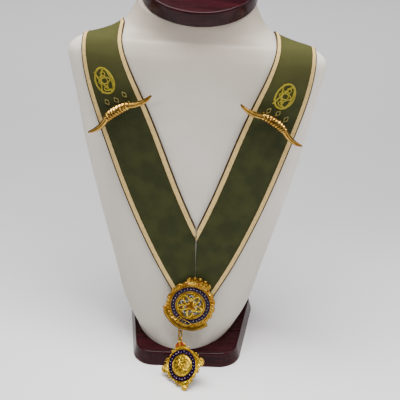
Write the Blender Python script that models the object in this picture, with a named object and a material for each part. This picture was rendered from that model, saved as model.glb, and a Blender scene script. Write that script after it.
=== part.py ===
"""Ribbon chain of office with two jewels, laid over a padded neck bust on a wooden base.

The front faces -Y and the floor is at Z = 0. Everything that the bust carries is modelled
upright above the base and hangs under one empty, which leans it a little to its right.
"""
import math

import bpy
import bmesh
from mathutils import Matrix, Vector
from mathutils.bvhtree import BVHTree

MM = 0.001
CLEAR = 0.3 * MM                # gap between pieces that touch

# Wooden base
BASE_HEIGHT = 14.0 * MM
BASE_FRONT_WIDTH = 96.5 * MM
BASE_BACK_WIDTH = 126.0 * MM
BASE_DEPTH = 112.0 * MM
BASE_FRONT_Y = -45.5 * MM
BASE_SIDE_SLOPE = 2.8 * MM      # how far the top edge stands back from the bottom edge
BASE_CORNER_RADIUS = 20.0 * MM
BASE_EDGE_RADIUS = 1.6 * MM

# Padded bust
FORM_HEIGHT = 323.0 * MM
SHOULDER_WIDTH = 223.0 * MM
FORM_DEPTH = 96.0 * MM          # chest front to nape
FORM_FRONT_Y = -38.5 * MM       # front of the footprint on the base
FORM_LEAN = math.radians(2.5)
FORM_SHIFT = -3.8 * MM          # the bust stands this far to the left of the base's middle
FORM_SIDES = 38

# Wooden cap on the neck
CAP_WIDTH = 99.0 * MM
CAP_DEPTH = 79.0 * MM
CAP_HEIGHT = 16.0 * MM
CAP_TILT = math.radians(21.0)
CAP_EDGE_RADIUS = 1.8 * MM
CAP_CENTRE_Y = FORM_FRONT_Y + 0.78 * FORM_DEPTH
CAP_SHIFT = -1.2 * MM
CAP_RISE = FORM_HEIGHT + 1.3 * MM   # cap's underside above the base, at its centre

# Ribbon collar
RIBBON_WIDTH = 50.0 * MM
RIBBON_THICKNESS = 1.2 * MM
RIBBON_LIFT = 0.5 * MM          # the cloth lies this far off the leatherette
RIBBON_COLUMNS = 4
COLLAR_SHIFT = 11.6 * MM        # the collar's middle plane meets the base this far to the right
COLLAR_SWING = math.radians(2.0)  # the collar hangs this much more upright than the bust
SEAM_GAP = 0.4 * MM
RIBBON_SLACK = 0.50             # share of the hollow under a flat ribbon that stays
RIBBON_BLUR = 4                 # smoothing passes over the directions of its rows

# Horn pins
PIN_SPAN = 70.0 * MM
PIN_RISE = 5.5 * MM
PIN_THICKNESS = 8.0 * MM
PIN_WRAPS = 7
PIN_BOUND = 0.34                # share of the half span under the binding
PIN_STEPS = 36
FOOT_RADIUS = 1.3 * MM
FOOT_REACH = 10.5 * MM          # feet stand this far from the pin's middle
FOOT_RISE = 0.35                # share of PIN_RISE
# Where each pin stands, by side: across from the collar's middle plane, height above the
# base's top, tilt
PIN_PLACES = {
    -1: (67.8 * MM, 233.0 * MM, math.radians(38.0)),
    1: (64.4 * MM, 231.0 * MM, math.radians(36.5)),
}

# Breast jewel
JEWEL_RADIUS = 22.0 * MM        # plate under the leaves
JEWEL_PLATE = 1.3 * MM
JEWEL_RING_OUTER = 18.0 * MM
JEWEL_RING_INNER = 14.0 * MM
JEWEL_RIM = 0.9 * MM            # width of the gilt rims beside the enamel
JEWEL_RELIEF = 2.6 * MM         # height of the rims above the back
JEWEL_LEAVES = 17
JEWEL_TURN = math.radians(-17.0)
JEWEL_LEAN = math.radians(15.0)
JEWEL_ACROSS = 6.1 * MM
JEWEL_HEIGHT = 49.5 * MM        # centre above the base's top
JEWEL_STANDOFF = 5.2 * MM       # back of the plate in front of the bust
CREST_WIDTH = 23.4 * MM
CREST_TOP = 28.2 * MM
CREST_THICKNESS = 2.1 * MM
CREST_PEARL = 1.25 * MM
BANNER_RADIUS = 23.2 * MM
BANNER_WIDTH = 5.2 * MM
ENAMEL_THICKNESS = 0.9 * MM
LUG_RADIUS = 2.0 * MM
LUG_WIRE = 0.55 * MM
LUG_RISE = 1.0 * MM             # centre of the lug and of the bail above the jewels' backs

# Link
LINK_RADIUS = 4.25 * MM
LINK_WIRE = 0.5 * MM
LINK_TURN = math.radians(14.0)

# Pendant jewel
PENDANT_HALF = 23.2 * MM        # centre to the tip of each lobe
PENDANT_PLATE = 1.2 * MM
PENDANT_RING_OUTER = 14.4 * MM
PENDANT_RING_INNER = 10.7 * MM
PENDANT_RIM = 0.8 * MM
PENDANT_RELIEF = 2.4 * MM
PENDANT_DOME = 2.6 * MM
PENDANT_LOBE = 4.4 * MM
PENDANT_SLOPE = math.radians(46.0)
PENDANT_ROLL = math.radians(28.0)
PENDANT_SWING = math.radians(9.0)
CROWN_WIDTH = 10.6 * MM
CROWN_HEIGHT = 6.4 * MM
CROWN_FOOT = 16.4 * MM          # crown's lower edge above the pendant's centre
BAIL_RISE = 1.3 * MM            # bail's centre above the crown

# Sections of the padded bust, from the base up.
# height: share of FORM_HEIGHT; width: share of half SHOULDER_WIDTH;
# front, middle, back: shares of FORM_DEPTH behind the footprint's front;
# bow: power of the front curve; wing: how fast the back falls away to the sides;
# aside: share of SHOULDER_WIDTH to the right of the bust's axis
FORM_SECTIONS = (
    # height, width, front, middle, back, bow, wing, aside
    (0.000, 0.430, 0.000, 0.651, 0.776, 1.96, 0.35, 0.000),
    (0.080, 0.544, 0.070, 0.672, 0.818, 2.15, 0.35, 0.000),
    (0.192, 0.623, 0.138, 0.682, 0.859, 2.25, 0.40, 0.000),
    (0.387, 0.757, 0.224, 0.672, 0.922, 2.30, 0.50, 0.000),
    (0.576, 0.868, 0.286, 0.641, 0.964, 2.34, 0.70, 0.000),
    (0.721, 0.927, 0.323, 0.599, 0.995, 2.42, 0.70, 0.000),
    (0.817, 0.975, 0.349, 0.568, 1.005, 2.50, 0.80, 0.000),
    (0.861, 0.985, 0.370, 0.557, 1.005, 2.50, 1.00, 0.000),
    (0.885, 0.940, 0.396, 0.557, 1.005, 2.40, 1.20, -0.002),
    (0.901, 0.858, 0.422, 0.568, 1.010, 2.30, 1.30, -0.004),
    (0.910, 0.746, 0.443, 0.589, 1.016, 2.20, 1.20, -0.007),
    (0.920, 0.634, 0.448, 0.630, 1.026, 2.10, 1.00, -0.010),
    (0.935, 0.545, 0.443, 0.693, 1.047, 2.00, 0.70, -0.013),
    (0.963, 0.484, 0.432, 0.745, 1.089, 2.00, 0.50, -0.014),
    (1.000, 0.438, 0.422, 0.776, 1.130, 2.00, 0.50, -0.014),
)

FORM_SHOULDER_ROW = 6           # first row of the shoulders in FORM_SECTIONS

# Middle line of one collar half, from past the point of the front V, over the shoulder
# and down to past the point of a shorter V at the back.
# across: share of half SHOULDER_WIDTH; depth: share of FORM_DEPTH behind the footprint's
# front; height: share of FORM_HEIGHT; width: share of RIBBON_WIDTH that the ribbon spans,
# less where it rolls in over the shoulder
COLLAR_ROUTE = (
    # across, depth, height, width
    (-0.235, 0.070, 0.080, 0.900),
    (0.013, 0.130, 0.226, 0.935),
    (0.131, 0.190, 0.300, 0.967),
    (0.320, 0.250, 0.443, 0.992),
    (0.449, 0.315, 0.570, 1.000),
    (0.568, 0.360, 0.693, 0.969),
    (0.667, 0.380, 0.786, 0.876),
    (0.715, 0.410, 0.854, 0.764),
    (0.732, 0.480, 0.898, 0.690),
    (0.716, 0.620, 0.915, 0.690),
    (0.688, 0.720, 0.885, 0.730),
    (0.652, 0.790, 0.838, 0.790),
    (0.598, 0.850, 0.788, 0.850),
    (0.522, 0.900, 0.735, 0.910),
    (0.420, 0.940, 0.678, 0.950),
    (0.290, 0.970, 0.620, 0.980),
    (0.150, 0.980, 0.570, 1.000),
    (0.000, 0.990, 0.525, 1.000),
    (-0.220, 0.980, 0.460, 1.000),
)

RIDGE_ROWS = (7, 11)            # rows of COLLAR_ROUTE that turn over the shoulder

# Half of a horn pin from its middle to its tip.
# along: share of half PIN_SPAN; rise: share of PIN_RISE; girth: share of PIN_THICKNESS
HORN_PROFILE = (
    # along, rise, girth
    (0.00, 1.00, 1.00),
    (0.14, 0.97, 0.98),
    (0.27, 0.86, 0.88),
    (0.38, 0.62, 0.70),
    (0.50, 0.34, 0.60),
    (0.63, 0.14, 0.56),
    (0.76, 0.08, 0.46),
    (0.88, 0.14, 0.34),
    (0.96, 0.24, 0.22),
    (1.00, 0.30, 0.12),
)


def new_material(name, rgb, roughness, metallic=0.0):
    material = bpy.data.materials.new(name)
    material.use_nodes = True
    shader = material.node_tree.nodes["Principled BSDF"]
    shader.inputs["Base Color"].default_value = (*rgb, 1.0)
    shader.inputs["Roughness"].default_value = roughness
    shader.inputs["Metallic"].default_value = metallic
    return material


def make_object(name, bm, material, parent=None, sharp=40.0):
    """Turn a bmesh into a named object with one material, shaded smooth."""
    bmesh.ops.recalc_face_normals(bm, faces=bm.faces)
    mesh = bpy.data.meshes.new(name)
    bm.to_mesh(mesh)
    bm.free()
    mesh.shade_smooth()
    mesh.set_sharp_from_angle(angle=math.radians(sharp))
    mesh.materials.append(material)
    obj = bpy.data.objects.new(name, mesh)
    bpy.context.scene.collection.objects.link(obj)
    obj.parent = parent
    return obj


def smooth_row(rows, position):
    """Read a table at a fractional row with a Catmull-Rom curve through its columns."""
    last = len(rows) - 1
    index = min(int(position), last - 1)
    t = position - index
    before = rows[max(index - 1, 0)]
    start = rows[index]
    end = rows[index + 1]
    after = rows[min(index + 2, last)]
    return tuple(
        0.5 * (2 * b + (c - a) * t + (2 * a - 5 * b + 4 * c - d) * t * t
               + (3 * b - a - 3 * c + d) * t ** 3)
        for a, b, c, d in zip(before, start, end, after))


def bridge_rings(bm, rings, closed=False):
    """Skin rings of points with quads; open ends get a flat cap."""
    loops = [[bm.verts.new(point) for point in ring] for ring in rings]
    pairs = list(zip(loops, loops[1:]))
    if closed:
        pairs.append((loops[-1], loops[0]))
    for lower, upper in pairs:
        count = len(lower)
        for i in range(count):
            j = (i + 1) % count
            bm.faces.new((lower[i], lower[j], upper[j], upper[i]))
    if not closed:
        bm.faces.new(list(reversed(loops[0])))
        bm.faces.new(loops[-1])


def add_lathe(bm, profile, sides=36):
    """Spin a closed profile of (radius, height) points about Z."""
    rings = []
    for k in range(sides):
        angle = 2 * math.pi * k / sides
        rings.append([(r * math.cos(angle), r * math.sin(angle), h) for r, h in profile])
    bridge_rings(bm, rings, closed=True)


def add_disc(bm, profile, sides=36):
    """Turn a profile of (radius, height) points that starts and ends on the axis."""
    inner = profile[1:-1]
    rings = []
    for r, h in inner:
        rings.append([(r * math.cos(2 * math.pi * k / sides),
                       r * math.sin(2 * math.pi * k / sides), h) for k in range(sides)])
    loops = [[bm.verts.new(point) for point in ring] for ring in rings]
    for lower, upper in zip(loops, loops[1:]):
        for i in range(sides):
            j = (i + 1) % sides
            bm.faces.new((lower[i], lower[j], upper[j], upper[i]))
    for loop, (_, height) in ((loops[0], profile[0]), (loops[-1], profile[-1])):
        pole = bm.verts.new((0.0, 0.0, height))
        for i in range(sides):
            bm.faces.new((loop[i], loop[(i + 1) % sides], pole))


def add_blob(bm, centre, radii, turn=0.0, across=7, around=4):
    """Add an ellipsoid, turned about Z."""
    made = bmesh.ops.create_uvsphere(bm, u_segments=across, v_segments=around, radius=1.0)
    matrix = (Matrix.Translation(centre) @ Matrix.Rotation(turn, 4, "Z")
              @ Matrix.Diagonal((*radii, 1.0)))
    bmesh.ops.transform(bm, matrix=matrix, verts=made["verts"])


def add_prism(bm, outline, low, high):
    """Extrude a flat outline of (x, y) points from low to high."""
    bridge_rings(bm, [[(x, y, low) for x, y in outline], [(x, y, high) for x, y in outline]])


def add_tube(bm, points, radii, sides=6, closed=False, flat=1.0):
    """Sweep a round section along points; flat squashes it along Z."""
    rings = []
    count = len(points)
    for k, (point, radius) in enumerate(zip(points, radii)):
        if closed:
            ahead = points[(k + 1) % count]
            behind = points[k - 1]
        else:
            ahead = points[min(k + 1, count - 1)]
            behind = points[max(k - 1, 0)]
        along = (Vector(ahead) - Vector(behind)).normalized()
        side = along.cross(Vector((0, 0, 1))).normalized()
        rise = side.cross(along)
        rings.append([Vector(point) + side * radius * math.cos(2 * math.pi * i / sides)
                      + rise * radius * flat * math.sin(2 * math.pi * i / sides)
                      for i in range(sides)])
    bridge_rings(bm, rings, closed=closed)


def add_ring(bm, radius, wire, matrix, around=16, sides=6):
    """Add a round wire ring whose hole runs along the matrix's Z."""
    rings = []
    for k in range(around):
        angle = 2 * math.pi * k / around
        out = Vector((math.cos(angle), math.sin(angle), 0.0))
        ring = []
        for i in range(sides):
            turn = 2 * math.pi * i / sides
            ring.append(matrix @ (out * (radius + wire * math.cos(turn))
                                  + Vector((0, 0, wire * math.sin(turn)))))
        rings.append(ring)
    bridge_rings(bm, rings, closed=True)


def union(name, core, extras, material, parent=None):
    """Fuse a core body and overlapping extras into one body."""
    body = make_object(name, core, material)
    helper = make_object(name + "_extras", extras, material)
    modifier = body.modifiers.new("fuse", "BOOLEAN")
    modifier.operation = "UNION"
    modifier.solver = "EXACT"
    modifier.use_self = True
    modifier.object = helper
    bpy.context.view_layer.update()
    graph = bpy.context.evaluated_depsgraph_get()
    fused = bpy.data.meshes.new_from_object(body.evaluated_get(graph))
    body.modifiers.clear()
    body.data = fused
    fused.name = name
    bpy.data.objects.remove(helper, do_unlink=True)
    body.parent = parent
    return body


def form_point(height, angle):
    """A point on the padded bust: height 0 to 1 up the sections, angle about its middle."""
    share, width, front, middle, back, bow, wing, aside = smooth_row(
        FORM_SECTIONS, height * (len(FORM_SECTIONS) - 1))
    half = width * SHOULDER_WIDTH / 2
    cosine = math.cos(angle)
    sine = math.sin(angle)
    if sine <= 0:
        x = half * math.copysign(abs(cosine) ** (2 / bow), cosine)
        depth = middle - (middle - front) * abs(sine) ** (2 / bow)
    else:
        x = half * cosine
        depth = middle + (back - middle) * max(1 - cosine * cosine, 0.0) ** wing
    return Vector((x + aside * SHOULDER_WIDTH, FORM_FRONT_Y + depth * FORM_DEPTH,
                   share * FORM_HEIGHT))


def form_rings():
    """Rings of points up the bust, closer together over the shoulders."""
    last = len(FORM_SECTIONS) - 1
    levels = [k / 2 for k in range(2 * FORM_SHOULDER_ROW)]
    levels += [FORM_SHOULDER_ROW + k / 3 for k in range(3 * (last - FORM_SHOULDER_ROW) + 1)]
    return [[form_point(level / last, 2 * math.pi * i / FORM_SIDES)
             for i in range(FORM_SIDES)] for level in levels]


def surface_of(piece):
    """A piece's surface in its own frame, for laying other pieces on it."""
    bm = bmesh.new()
    bm.from_mesh(piece.data)
    tree = BVHTree.FromBMesh(bm)
    bm.free()
    return tree


def rounded_outline(corners, radius, steps=6):
    """Round the corners of a convex outline of (x, y) points."""
    points = []
    count = len(corners)
    for k in range(count):
        corner = Vector(corners[k])
        back = (Vector(corners[k - 1]) - corner).normalized()
        ahead = (Vector(corners[(k + 1) % count]) - corner).normalized()
        half_angle = back.angle(ahead) / 2
        reach = radius / math.tan(half_angle)
        centre = corner + (back + ahead).normalized() * radius / math.sin(half_angle)
        start = corner + back * reach - centre
        end = corner + ahead * reach - centre
        for step in range(steps + 1):
            blend = start.lerp(end, step / steps).normalized() * radius
            points.append(tuple(centre + blend))
    return points


def make_base(material):
    """Wooden block: wider at the back, sides sloping in to the top, small rounded top edge."""
    front = BASE_FRONT_Y
    back = BASE_FRONT_Y + BASE_DEPTH
    rings = []
    levels = ((0.0, 0.0), (BASE_HEIGHT - BASE_EDGE_RADIUS, BASE_SIDE_SLOPE * 0.9),
              (BASE_HEIGHT - BASE_EDGE_RADIUS * 0.3, BASE_SIDE_SLOPE + BASE_EDGE_RADIUS * 0.3),
              (BASE_HEIGHT, BASE_SIDE_SLOPE + BASE_EDGE_RADIUS))
    for height, inset in levels:
        corners = ((-BASE_FRONT_WIDTH / 2 + inset, front + inset),
                   (BASE_FRONT_WIDTH / 2 - inset, front + inset),
                   (BASE_BACK_WIDTH / 2 - inset, back - inset),
                   (-BASE_BACK_WIDTH / 2 + inset, back - inset))
        outline = rounded_outline(corners, BASE_CORNER_RADIUS - inset * 0.5)
        rings.append([(x, y, height) for x, y in outline])
    bm = bmesh.new()
    bridge_rings(bm, rings)
    return make_object("base_block", bm, material)


def make_form(material, parent):
    """The padded bust: its foot level on the base, its neck cut off below the tilted cap."""
    bm = bmesh.new()
    rings = form_rings()
    for ring in rings:
        for point in ring:
            foot = point.x * math.tan(FORM_LEAN) + CLEAR
            under_cap = (CAP_RISE - 2 * CLEAR
                         + (point.y - CAP_CENTRE_Y) * math.tan(CAP_TILT))
            point.z = min(max(point.z, foot), under_cap)
    for point in rings[0]:
        point.z = point.x * math.tan(FORM_LEAN) + CLEAR
    for point in rings[-1]:
        point.z = (CAP_RISE - 2 * CLEAR
                   + (point.y - CAP_CENTRE_Y) * math.tan(CAP_TILT))
    bridge_rings(bm, rings)
    return make_object("bust_form", bm, material, parent, sharp=50.0)


def make_cap(material, parent):
    """Oval wooden cap on the neck, tilted forward, with a rounded top edge."""
    bm = bmesh.new()
    sides = 44
    rings = []
    for inset, height in ((0.0, 0.0), (0.0, CAP_HEIGHT - CAP_EDGE_RADIUS),
                          (CAP_EDGE_RADIUS * 0.3, CAP_HEIGHT - CAP_EDGE_RADIUS * 0.3),
                          (CAP_EDGE_RADIUS, CAP_HEIGHT)):
        rings.append([((CAP_WIDTH / 2 - inset) * math.cos(2 * math.pi * i / sides),
                       (CAP_DEPTH / 2 - inset) * math.sin(2 * math.pi * i / sides), height)
                      for i in range(sides)])
    bridge_rings(bm, rings)
    cap = make_object("neck_cap", bm, material, parent)
    cap.location = (CAP_SHIFT, CAP_CENTRE_Y, CAP_RISE)
    cap.rotation_euler = (CAP_TILT, 0.0, 0.0)
    return cap


def collar_middle(z):
    """Where the collar's middle plane stands across the bust at a height above the base."""
    return COLLAR_SHIFT - z * math.tan(COLLAR_SWING)


def collar_point(side, position):
    """A point on the middle line of a collar half, and the ribbon's width there."""
    across, depth, height, width = smooth_row(COLLAR_ROUTE, position * (len(COLLAR_ROUTE) - 1))
    z = height * FORM_HEIGHT
    point = Vector((collar_middle(z) + side * across * SHOULDER_WIDTH / 2,
                    FORM_FRONT_Y + depth * FORM_DEPTH, z))
    return point, width * RIBBON_WIDTH


def collar_rows():
    """Positions along COLLAR_ROUTE, closer together over the shoulder."""
    last = len(COLLAR_ROUTE) - 1
    positions = []
    for row in range(last):
        steps = 7 if RIDGE_ROWS[0] <= row < RIDGE_ROWS[1] else 3
        positions += [(row + k / steps) / last for k in range(steps)]
    return positions + [1.0]


def blurred(vectors, passes):
    """Smooth a row of directions."""
    last = len(vectors) - 1
    for _ in range(passes):
        vectors = [(vectors[max(k - 1, 0)] + 2 * vectors[k]
                    + vectors[min(k + 1, last)]).normalized() for k in range(last + 1)]
    return vectors


def sheet_normals(grid, facing):
    """Normals of a grid of points, on the side that each row faces."""
    last = len(grid) - 1
    edge = len(grid[0]) - 1
    normals = []
    for k in range(last + 1):
        row = []
        for c in range(edge + 1):
            along = grid[min(k + 1, last)][c] - grid[max(k - 1, 0)][c]
            across = grid[k][min(c + 1, edge)] - grid[k][max(c - 1, 0)]
            out = along.cross(across).normalized()
            row.append(out if out.dot(facing[k]) > 0 else -out)
        normals.append(row)
    return normals


def keep_clear(grid, facing, surface, lift):
    """Push a laid sheet out until its points and the middles between them clear the bust."""
    rows = len(grid)
    columns = len(grid[0])
    for _ in range(6):
        for k in range(rows):
            for c in range(columns):
                for dk, dc in ((0, 0), (1, 0), (0, 1), (1, 1), (1, -1)):
                    if k + dk >= rows or not 0 <= c + dc < columns:
                        continue
                    middle = (grid[k][c] + grid[k + dk][c + dc]) / 2
                    place, out, _, _ = surface.find_nearest(middle)
                    short = lift - (middle - place).dot(out)
                    if short > 0:
                        grid[k][c] = grid[k][c] + facing[k] * short
                        grid[k + dk][c + dc] += facing[k + dk] * short


def make_collar_half(name, side, surface, material, parent):
    """One ribbon half, laid on the bust row by row and mitred at both points of the V."""
    route = [collar_point(side, k) for k in collar_rows()]
    nearest = [surface.find_nearest(point) for point, _ in route]
    spots = [hit[0] for hit in nearest]
    last = len(spots) - 1
    facing = blurred([hit[1] for hit in nearest], RIBBON_BLUR)
    along = blurred([(spots[min(k + 1, last)] - spots[max(k - 1, 0)]).normalized()
                     for k in range(last + 1)], RIBBON_BLUR)
    grid = []
    for k, spot in enumerate(spots):
        across = facing[k].cross(along[k]).normalized()
        row = []
        for c in range(RIBBON_COLUMNS + 1):
            flat = spot + across * (c / RIBBON_COLUMNS - 0.5) * route[k][1]
            laid = surface.find_nearest(flat)[0]
            row.append(laid.lerp(flat, RIBBON_SLACK) + facing[k] * RIBBON_LIFT)
        grid.append(row)
    for _ in range(RIBBON_BLUR):
        grid = [[(a + 2 * b + c) / 4 for a, b, c in zip(grid[max(k - 1, 0)], grid[k],
                                                       grid[min(k + 1, last)])]
                for k in range(last + 1)]
    keep_clear(grid, facing, surface, RIBBON_LIFT)
    rows = []
    for under, outs in zip(grid, sheet_normals(grid, facing)):
        over = [place + out * RIBBON_THICKNESS for place, out in zip(under, outs)]
        rows.append(under + list(reversed(over)))
    bm = bmesh.new()
    bridge_rings(bm, rows)
    half = make_object(name, bm, material, parent, sharp=60.0)
    trim_at_seam(half, side)
    return half


def trim_at_seam(half, side):
    """Cut the half along the collar's middle plane, at the front and at the back."""
    cutter_bm = bmesh.new()
    middle = FORM_FRONT_Y + 0.5 * FORM_DEPTH
    for near_y, far_y in ((middle, middle - 2 * FORM_DEPTH), (middle + CLEAR, middle + FORM_DEPTH)):
        rings = []
        for z in (0.0, FORM_HEIGHT):
            edge = collar_middle(z) + side * SEAM_GAP / 2
            far = collar_middle(z) - side * SHOULDER_WIDTH
            rings.append([(edge, near_y, z), (far, near_y, z), (far, far_y, z), (edge, far_y, z)])
        bridge_rings(cutter_bm, rings)
    cutter = make_object(half.name + "_trim", cutter_bm, half.data.materials[0], half.parent)
    cutter.hide_render = True
    cutter.display_type = "WIRE"
    modifier = half.modifiers.new("mitre", "BOOLEAN")
    modifier.operation = "DIFFERENCE"
    modifier.solver = "EXACT"
    modifier.object = cutter


def make_horn_pin(name, side, ribbon, material, parent):
    """A pair of horns joined by a bound middle, standing on two feet on the ribbon."""
    cloth = surface_of(ribbon)
    aside, height, lean = PIN_PLACES[side]
    heart = Vector((collar_middle(height) + side * aside, FORM_FRONT_Y - 0.3 * FORM_DEPTH,
                    height))
    spot, normal, _, _ = cloth.ray_cast(heart, Vector((0, 1, 0)))
    right = normal.cross(Vector((0, 0, -1))).normalized()
    across = Matrix.Rotation(-side * lean, 3, normal) @ right
    feet_hits = [cloth.ray_cast(spot + normal * PIN_THICKNESS + across * end * FOOT_REACH,
                                -normal)[0] for end in (-1, 1)]
    across = (feet_hits[1] - feet_hits[0]).normalized()
    normal = (normal - across * normal.dot(across)).normalized()
    rise = normal.cross(across)
    frame = Matrix((across, rise, normal)).transposed().to_4x4()
    middle = (feet_hits[0] + feet_hits[1]) / 2 - rise * PIN_RISE * FOOT_RISE
    sunk = 0.0
    for end in (-1, 1):
        for turn in range(6):
            angle = math.pi * turn / 3
            corner = (middle + across * (end * FOOT_REACH + FOOT_RADIUS * math.cos(angle))
                      + rise * (PIN_RISE * FOOT_RISE + FOOT_RADIUS * math.sin(angle)))
            hit = cloth.ray_cast(corner + normal * PIN_THICKNESS, -normal)[0]
            sunk = max(sunk, (hit - corner).dot(normal))
    lift = sunk + CLEAR + PIN_THICKNESS * 0.72
    stations = [(-row[0], *row[1:]) for row in reversed(HORN_PROFILE[1:])] + list(HORN_PROFILE)
    points = []
    radii = []
    for k in range(PIN_STEPS + 1):
        share, arch, girth = smooth_row(stations, k / PIN_STEPS * (len(stations) - 1))
        bound = 1.0
        if abs(share) < PIN_BOUND:
            bound += 0.09 * math.cos(share / PIN_BOUND * math.pi * PIN_WRAPS)
        points.append((share * PIN_SPAN / 2, (arch - 0.5) * PIN_RISE, 0.0))
        radii.append(max(girth, 0.1) * bound * PIN_THICKNESS / 2)
    core = bmesh.new()
    add_tube(core, points, radii, sides=8, flat=0.8)
    feet = bmesh.new()
    tall = lift - sunk - CLEAR
    for end in (-1, 1):
        made = bmesh.ops.create_cone(feet, cap_ends=True, segments=6, radius1=FOOT_RADIUS,
                                     radius2=FOOT_RADIUS, depth=tall)
        bmesh.ops.translate(feet, verts=made["verts"],
                            vec=(end * FOOT_REACH, PIN_RISE * FOOT_RISE, -tall / 2))
    pin = union(name, core, feet, material, parent)
    pin.matrix_local = Matrix.Translation(middle + normal * lift) @ frame
    return pin


def add_groove_rims(bm, inner, outer, rim, plate, relief, sides=36):
    """Two raised gilt rims that hold an enamel ring between them."""
    for low, high in ((inner - rim, inner), (outer, outer + rim)):
        add_lathe(bm, ((low, plate * 0.5), (high, plate * 0.5), (high, relief * 0.9),
                       (low, relief)), sides)


def make_enamel_ring(name, inner, outer, plate, material, parent, sides=36):
    """A slightly crowned ring of enamel lying in its groove."""
    low = plate + CLEAR
    high = low + ENAMEL_THICKNESS
    bm = bmesh.new()
    add_lathe(bm, ((inner + CLEAR, low), (outer - CLEAR, low), (outer - CLEAR, high),
                   ((inner + outer) / 2, high + 0.15 * MM), (inner + CLEAR, high)), sides)
    return make_object(name, bm, material, parent)


def crest_outline(half_width, foot, top):
    """Outline of a wide open crown: a narrow foot, flaring sides and five points."""
    tall = top - foot
    right = ((0.66, 0.00), (0.72, 0.22), (0.90, 0.30), (1.00, 0.52), (0.84, 0.56),
             (0.70, 0.68), (0.62, 0.86), (0.46, 0.74), (0.30, 0.80), (0.16, 0.97))
    half = [(x * half_width, foot + y * tall) for x, y in right]
    return half + [(0.0, top)] + [(-x, y) for x, y in reversed(half)]


def make_breast_jewel(gilt, enamel, parent):
    """Round gilt jewel: leafy border, enamel ring, crown above, banner and lug below."""
    core = bmesh.new()
    add_disc(core, ((0, 0), (JEWEL_RADIUS * 0.94, 0), (JEWEL_RADIUS, 0.3 * MM),
                    (JEWEL_RADIUS * 0.97, JEWEL_PLATE), (0, JEWEL_PLATE)))
    extras = bmesh.new()
    add_groove_rims(extras, JEWEL_RING_INNER, JEWEL_RING_OUTER, JEWEL_RIM, JEWEL_PLATE,
                    JEWEL_RELIEF)
    border = JEWEL_RING_OUTER + JEWEL_RIM + 1.8 * MM
    for k in range(JEWEL_LEAVES):
        angle = 2 * math.pi * (k + 0.5) / JEWEL_LEAVES
        centre = (border * math.cos(angle), border * math.sin(angle), JEWEL_PLATE * 0.7)
        add_blob(extras, centre, (2.7 * MM, 2.3 * MM, 1.5 * MM), angle + 0.35)
    add_prism(extras, crest_outline(CREST_WIDTH / 2, border - 1.2 * MM, CREST_TOP),
              0.25 * MM, CREST_THICKNESS)
    for across, up in ((-0.94, 0.58), (-0.58, 0.86), (0.0, 1.0), (0.58, 0.86), (0.94, 0.58)):
        height = border + (CREST_TOP - border) * up
        add_blob(extras, (across * CREST_WIDTH / 2, height, CREST_PEARL),
                 (CREST_PEARL, CREST_PEARL, CREST_PEARL * 0.95), 0.2)
    add_banner(extras)
    lug = (0.0, -BANNER_RADIUS - BANNER_WIDTH / 2 - LUG_RADIUS * 0.75, LUG_RISE)
    add_ring(extras, LUG_RADIUS, LUG_WIRE, Matrix.Translation(lug), around=14)
    frame = union("breast_jewel_frame", core, extras, gilt, parent)
    ring = make_enamel_ring("breast_jewel_enamel", JEWEL_RING_INNER, JEWEL_RING_OUTER,
                            JEWEL_PLATE, enamel, parent)
    centre = make_knot_disc("breast_jewel_centre", JEWEL_RING_INNER - JEWEL_RIM - CLEAR,
                            JEWEL_PLATE + CLEAR, gilt, parent)
    return (frame, ring, centre), Vector(lug)


def add_banner(bm):
    """A curled band round the lower half, with a rolled end on each side."""
    steps = 22
    start = math.radians(210.0)
    end = math.radians(330.0)
    outline = []
    for radius, order in ((BANNER_RADIUS + BANNER_WIDTH / 2, range(steps + 1)),
                          (BANNER_RADIUS - BANNER_WIDTH / 2, range(steps, -1, -1))):
        for k in order:
            angle = start + (end - start) * k / steps
            outline.append((radius * math.cos(angle), radius * math.sin(angle)))
    add_prism(bm, outline, 0.2 * MM, 1.9 * MM)
    for angle in (start, end):
        add_blob(bm, (BANNER_RADIUS * math.cos(angle), BANNER_RADIUS * math.sin(angle), 1.3 * MM),
                 (2.3 * MM, 1.7 * MM, 1.5 * MM), angle)


def make_knot_disc(name, radius, low, material, parent):
    """A gilt disc with a raised four-loop knot of plain wire."""
    core = bmesh.new()
    add_disc(core, ((0, low), (radius, low), (radius, low + 0.7 * MM),
                    (radius * 0.9, low + 0.9 * MM), (0, low + 0.9 * MM)), sides=32)
    knot = bmesh.new()
    steps = 44
    points = []
    for k in range(steps):
        t = 2 * math.pi * (k + 0.37) / steps
        reach = radius * (0.54 + 0.28 * math.cos(4 * t))
        points.append((reach * math.cos(t), reach * math.sin(t), low + 0.78 * MM))
    add_tube(knot, points, [0.85 * MM] * steps, sides=6, closed=True)
    add_ring(knot, radius * 0.5, 0.75 * MM, Matrix.Translation((0, 0, low + 0.7 * MM)),
             around=22)
    return union(name, core, knot, material, parent)


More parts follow.
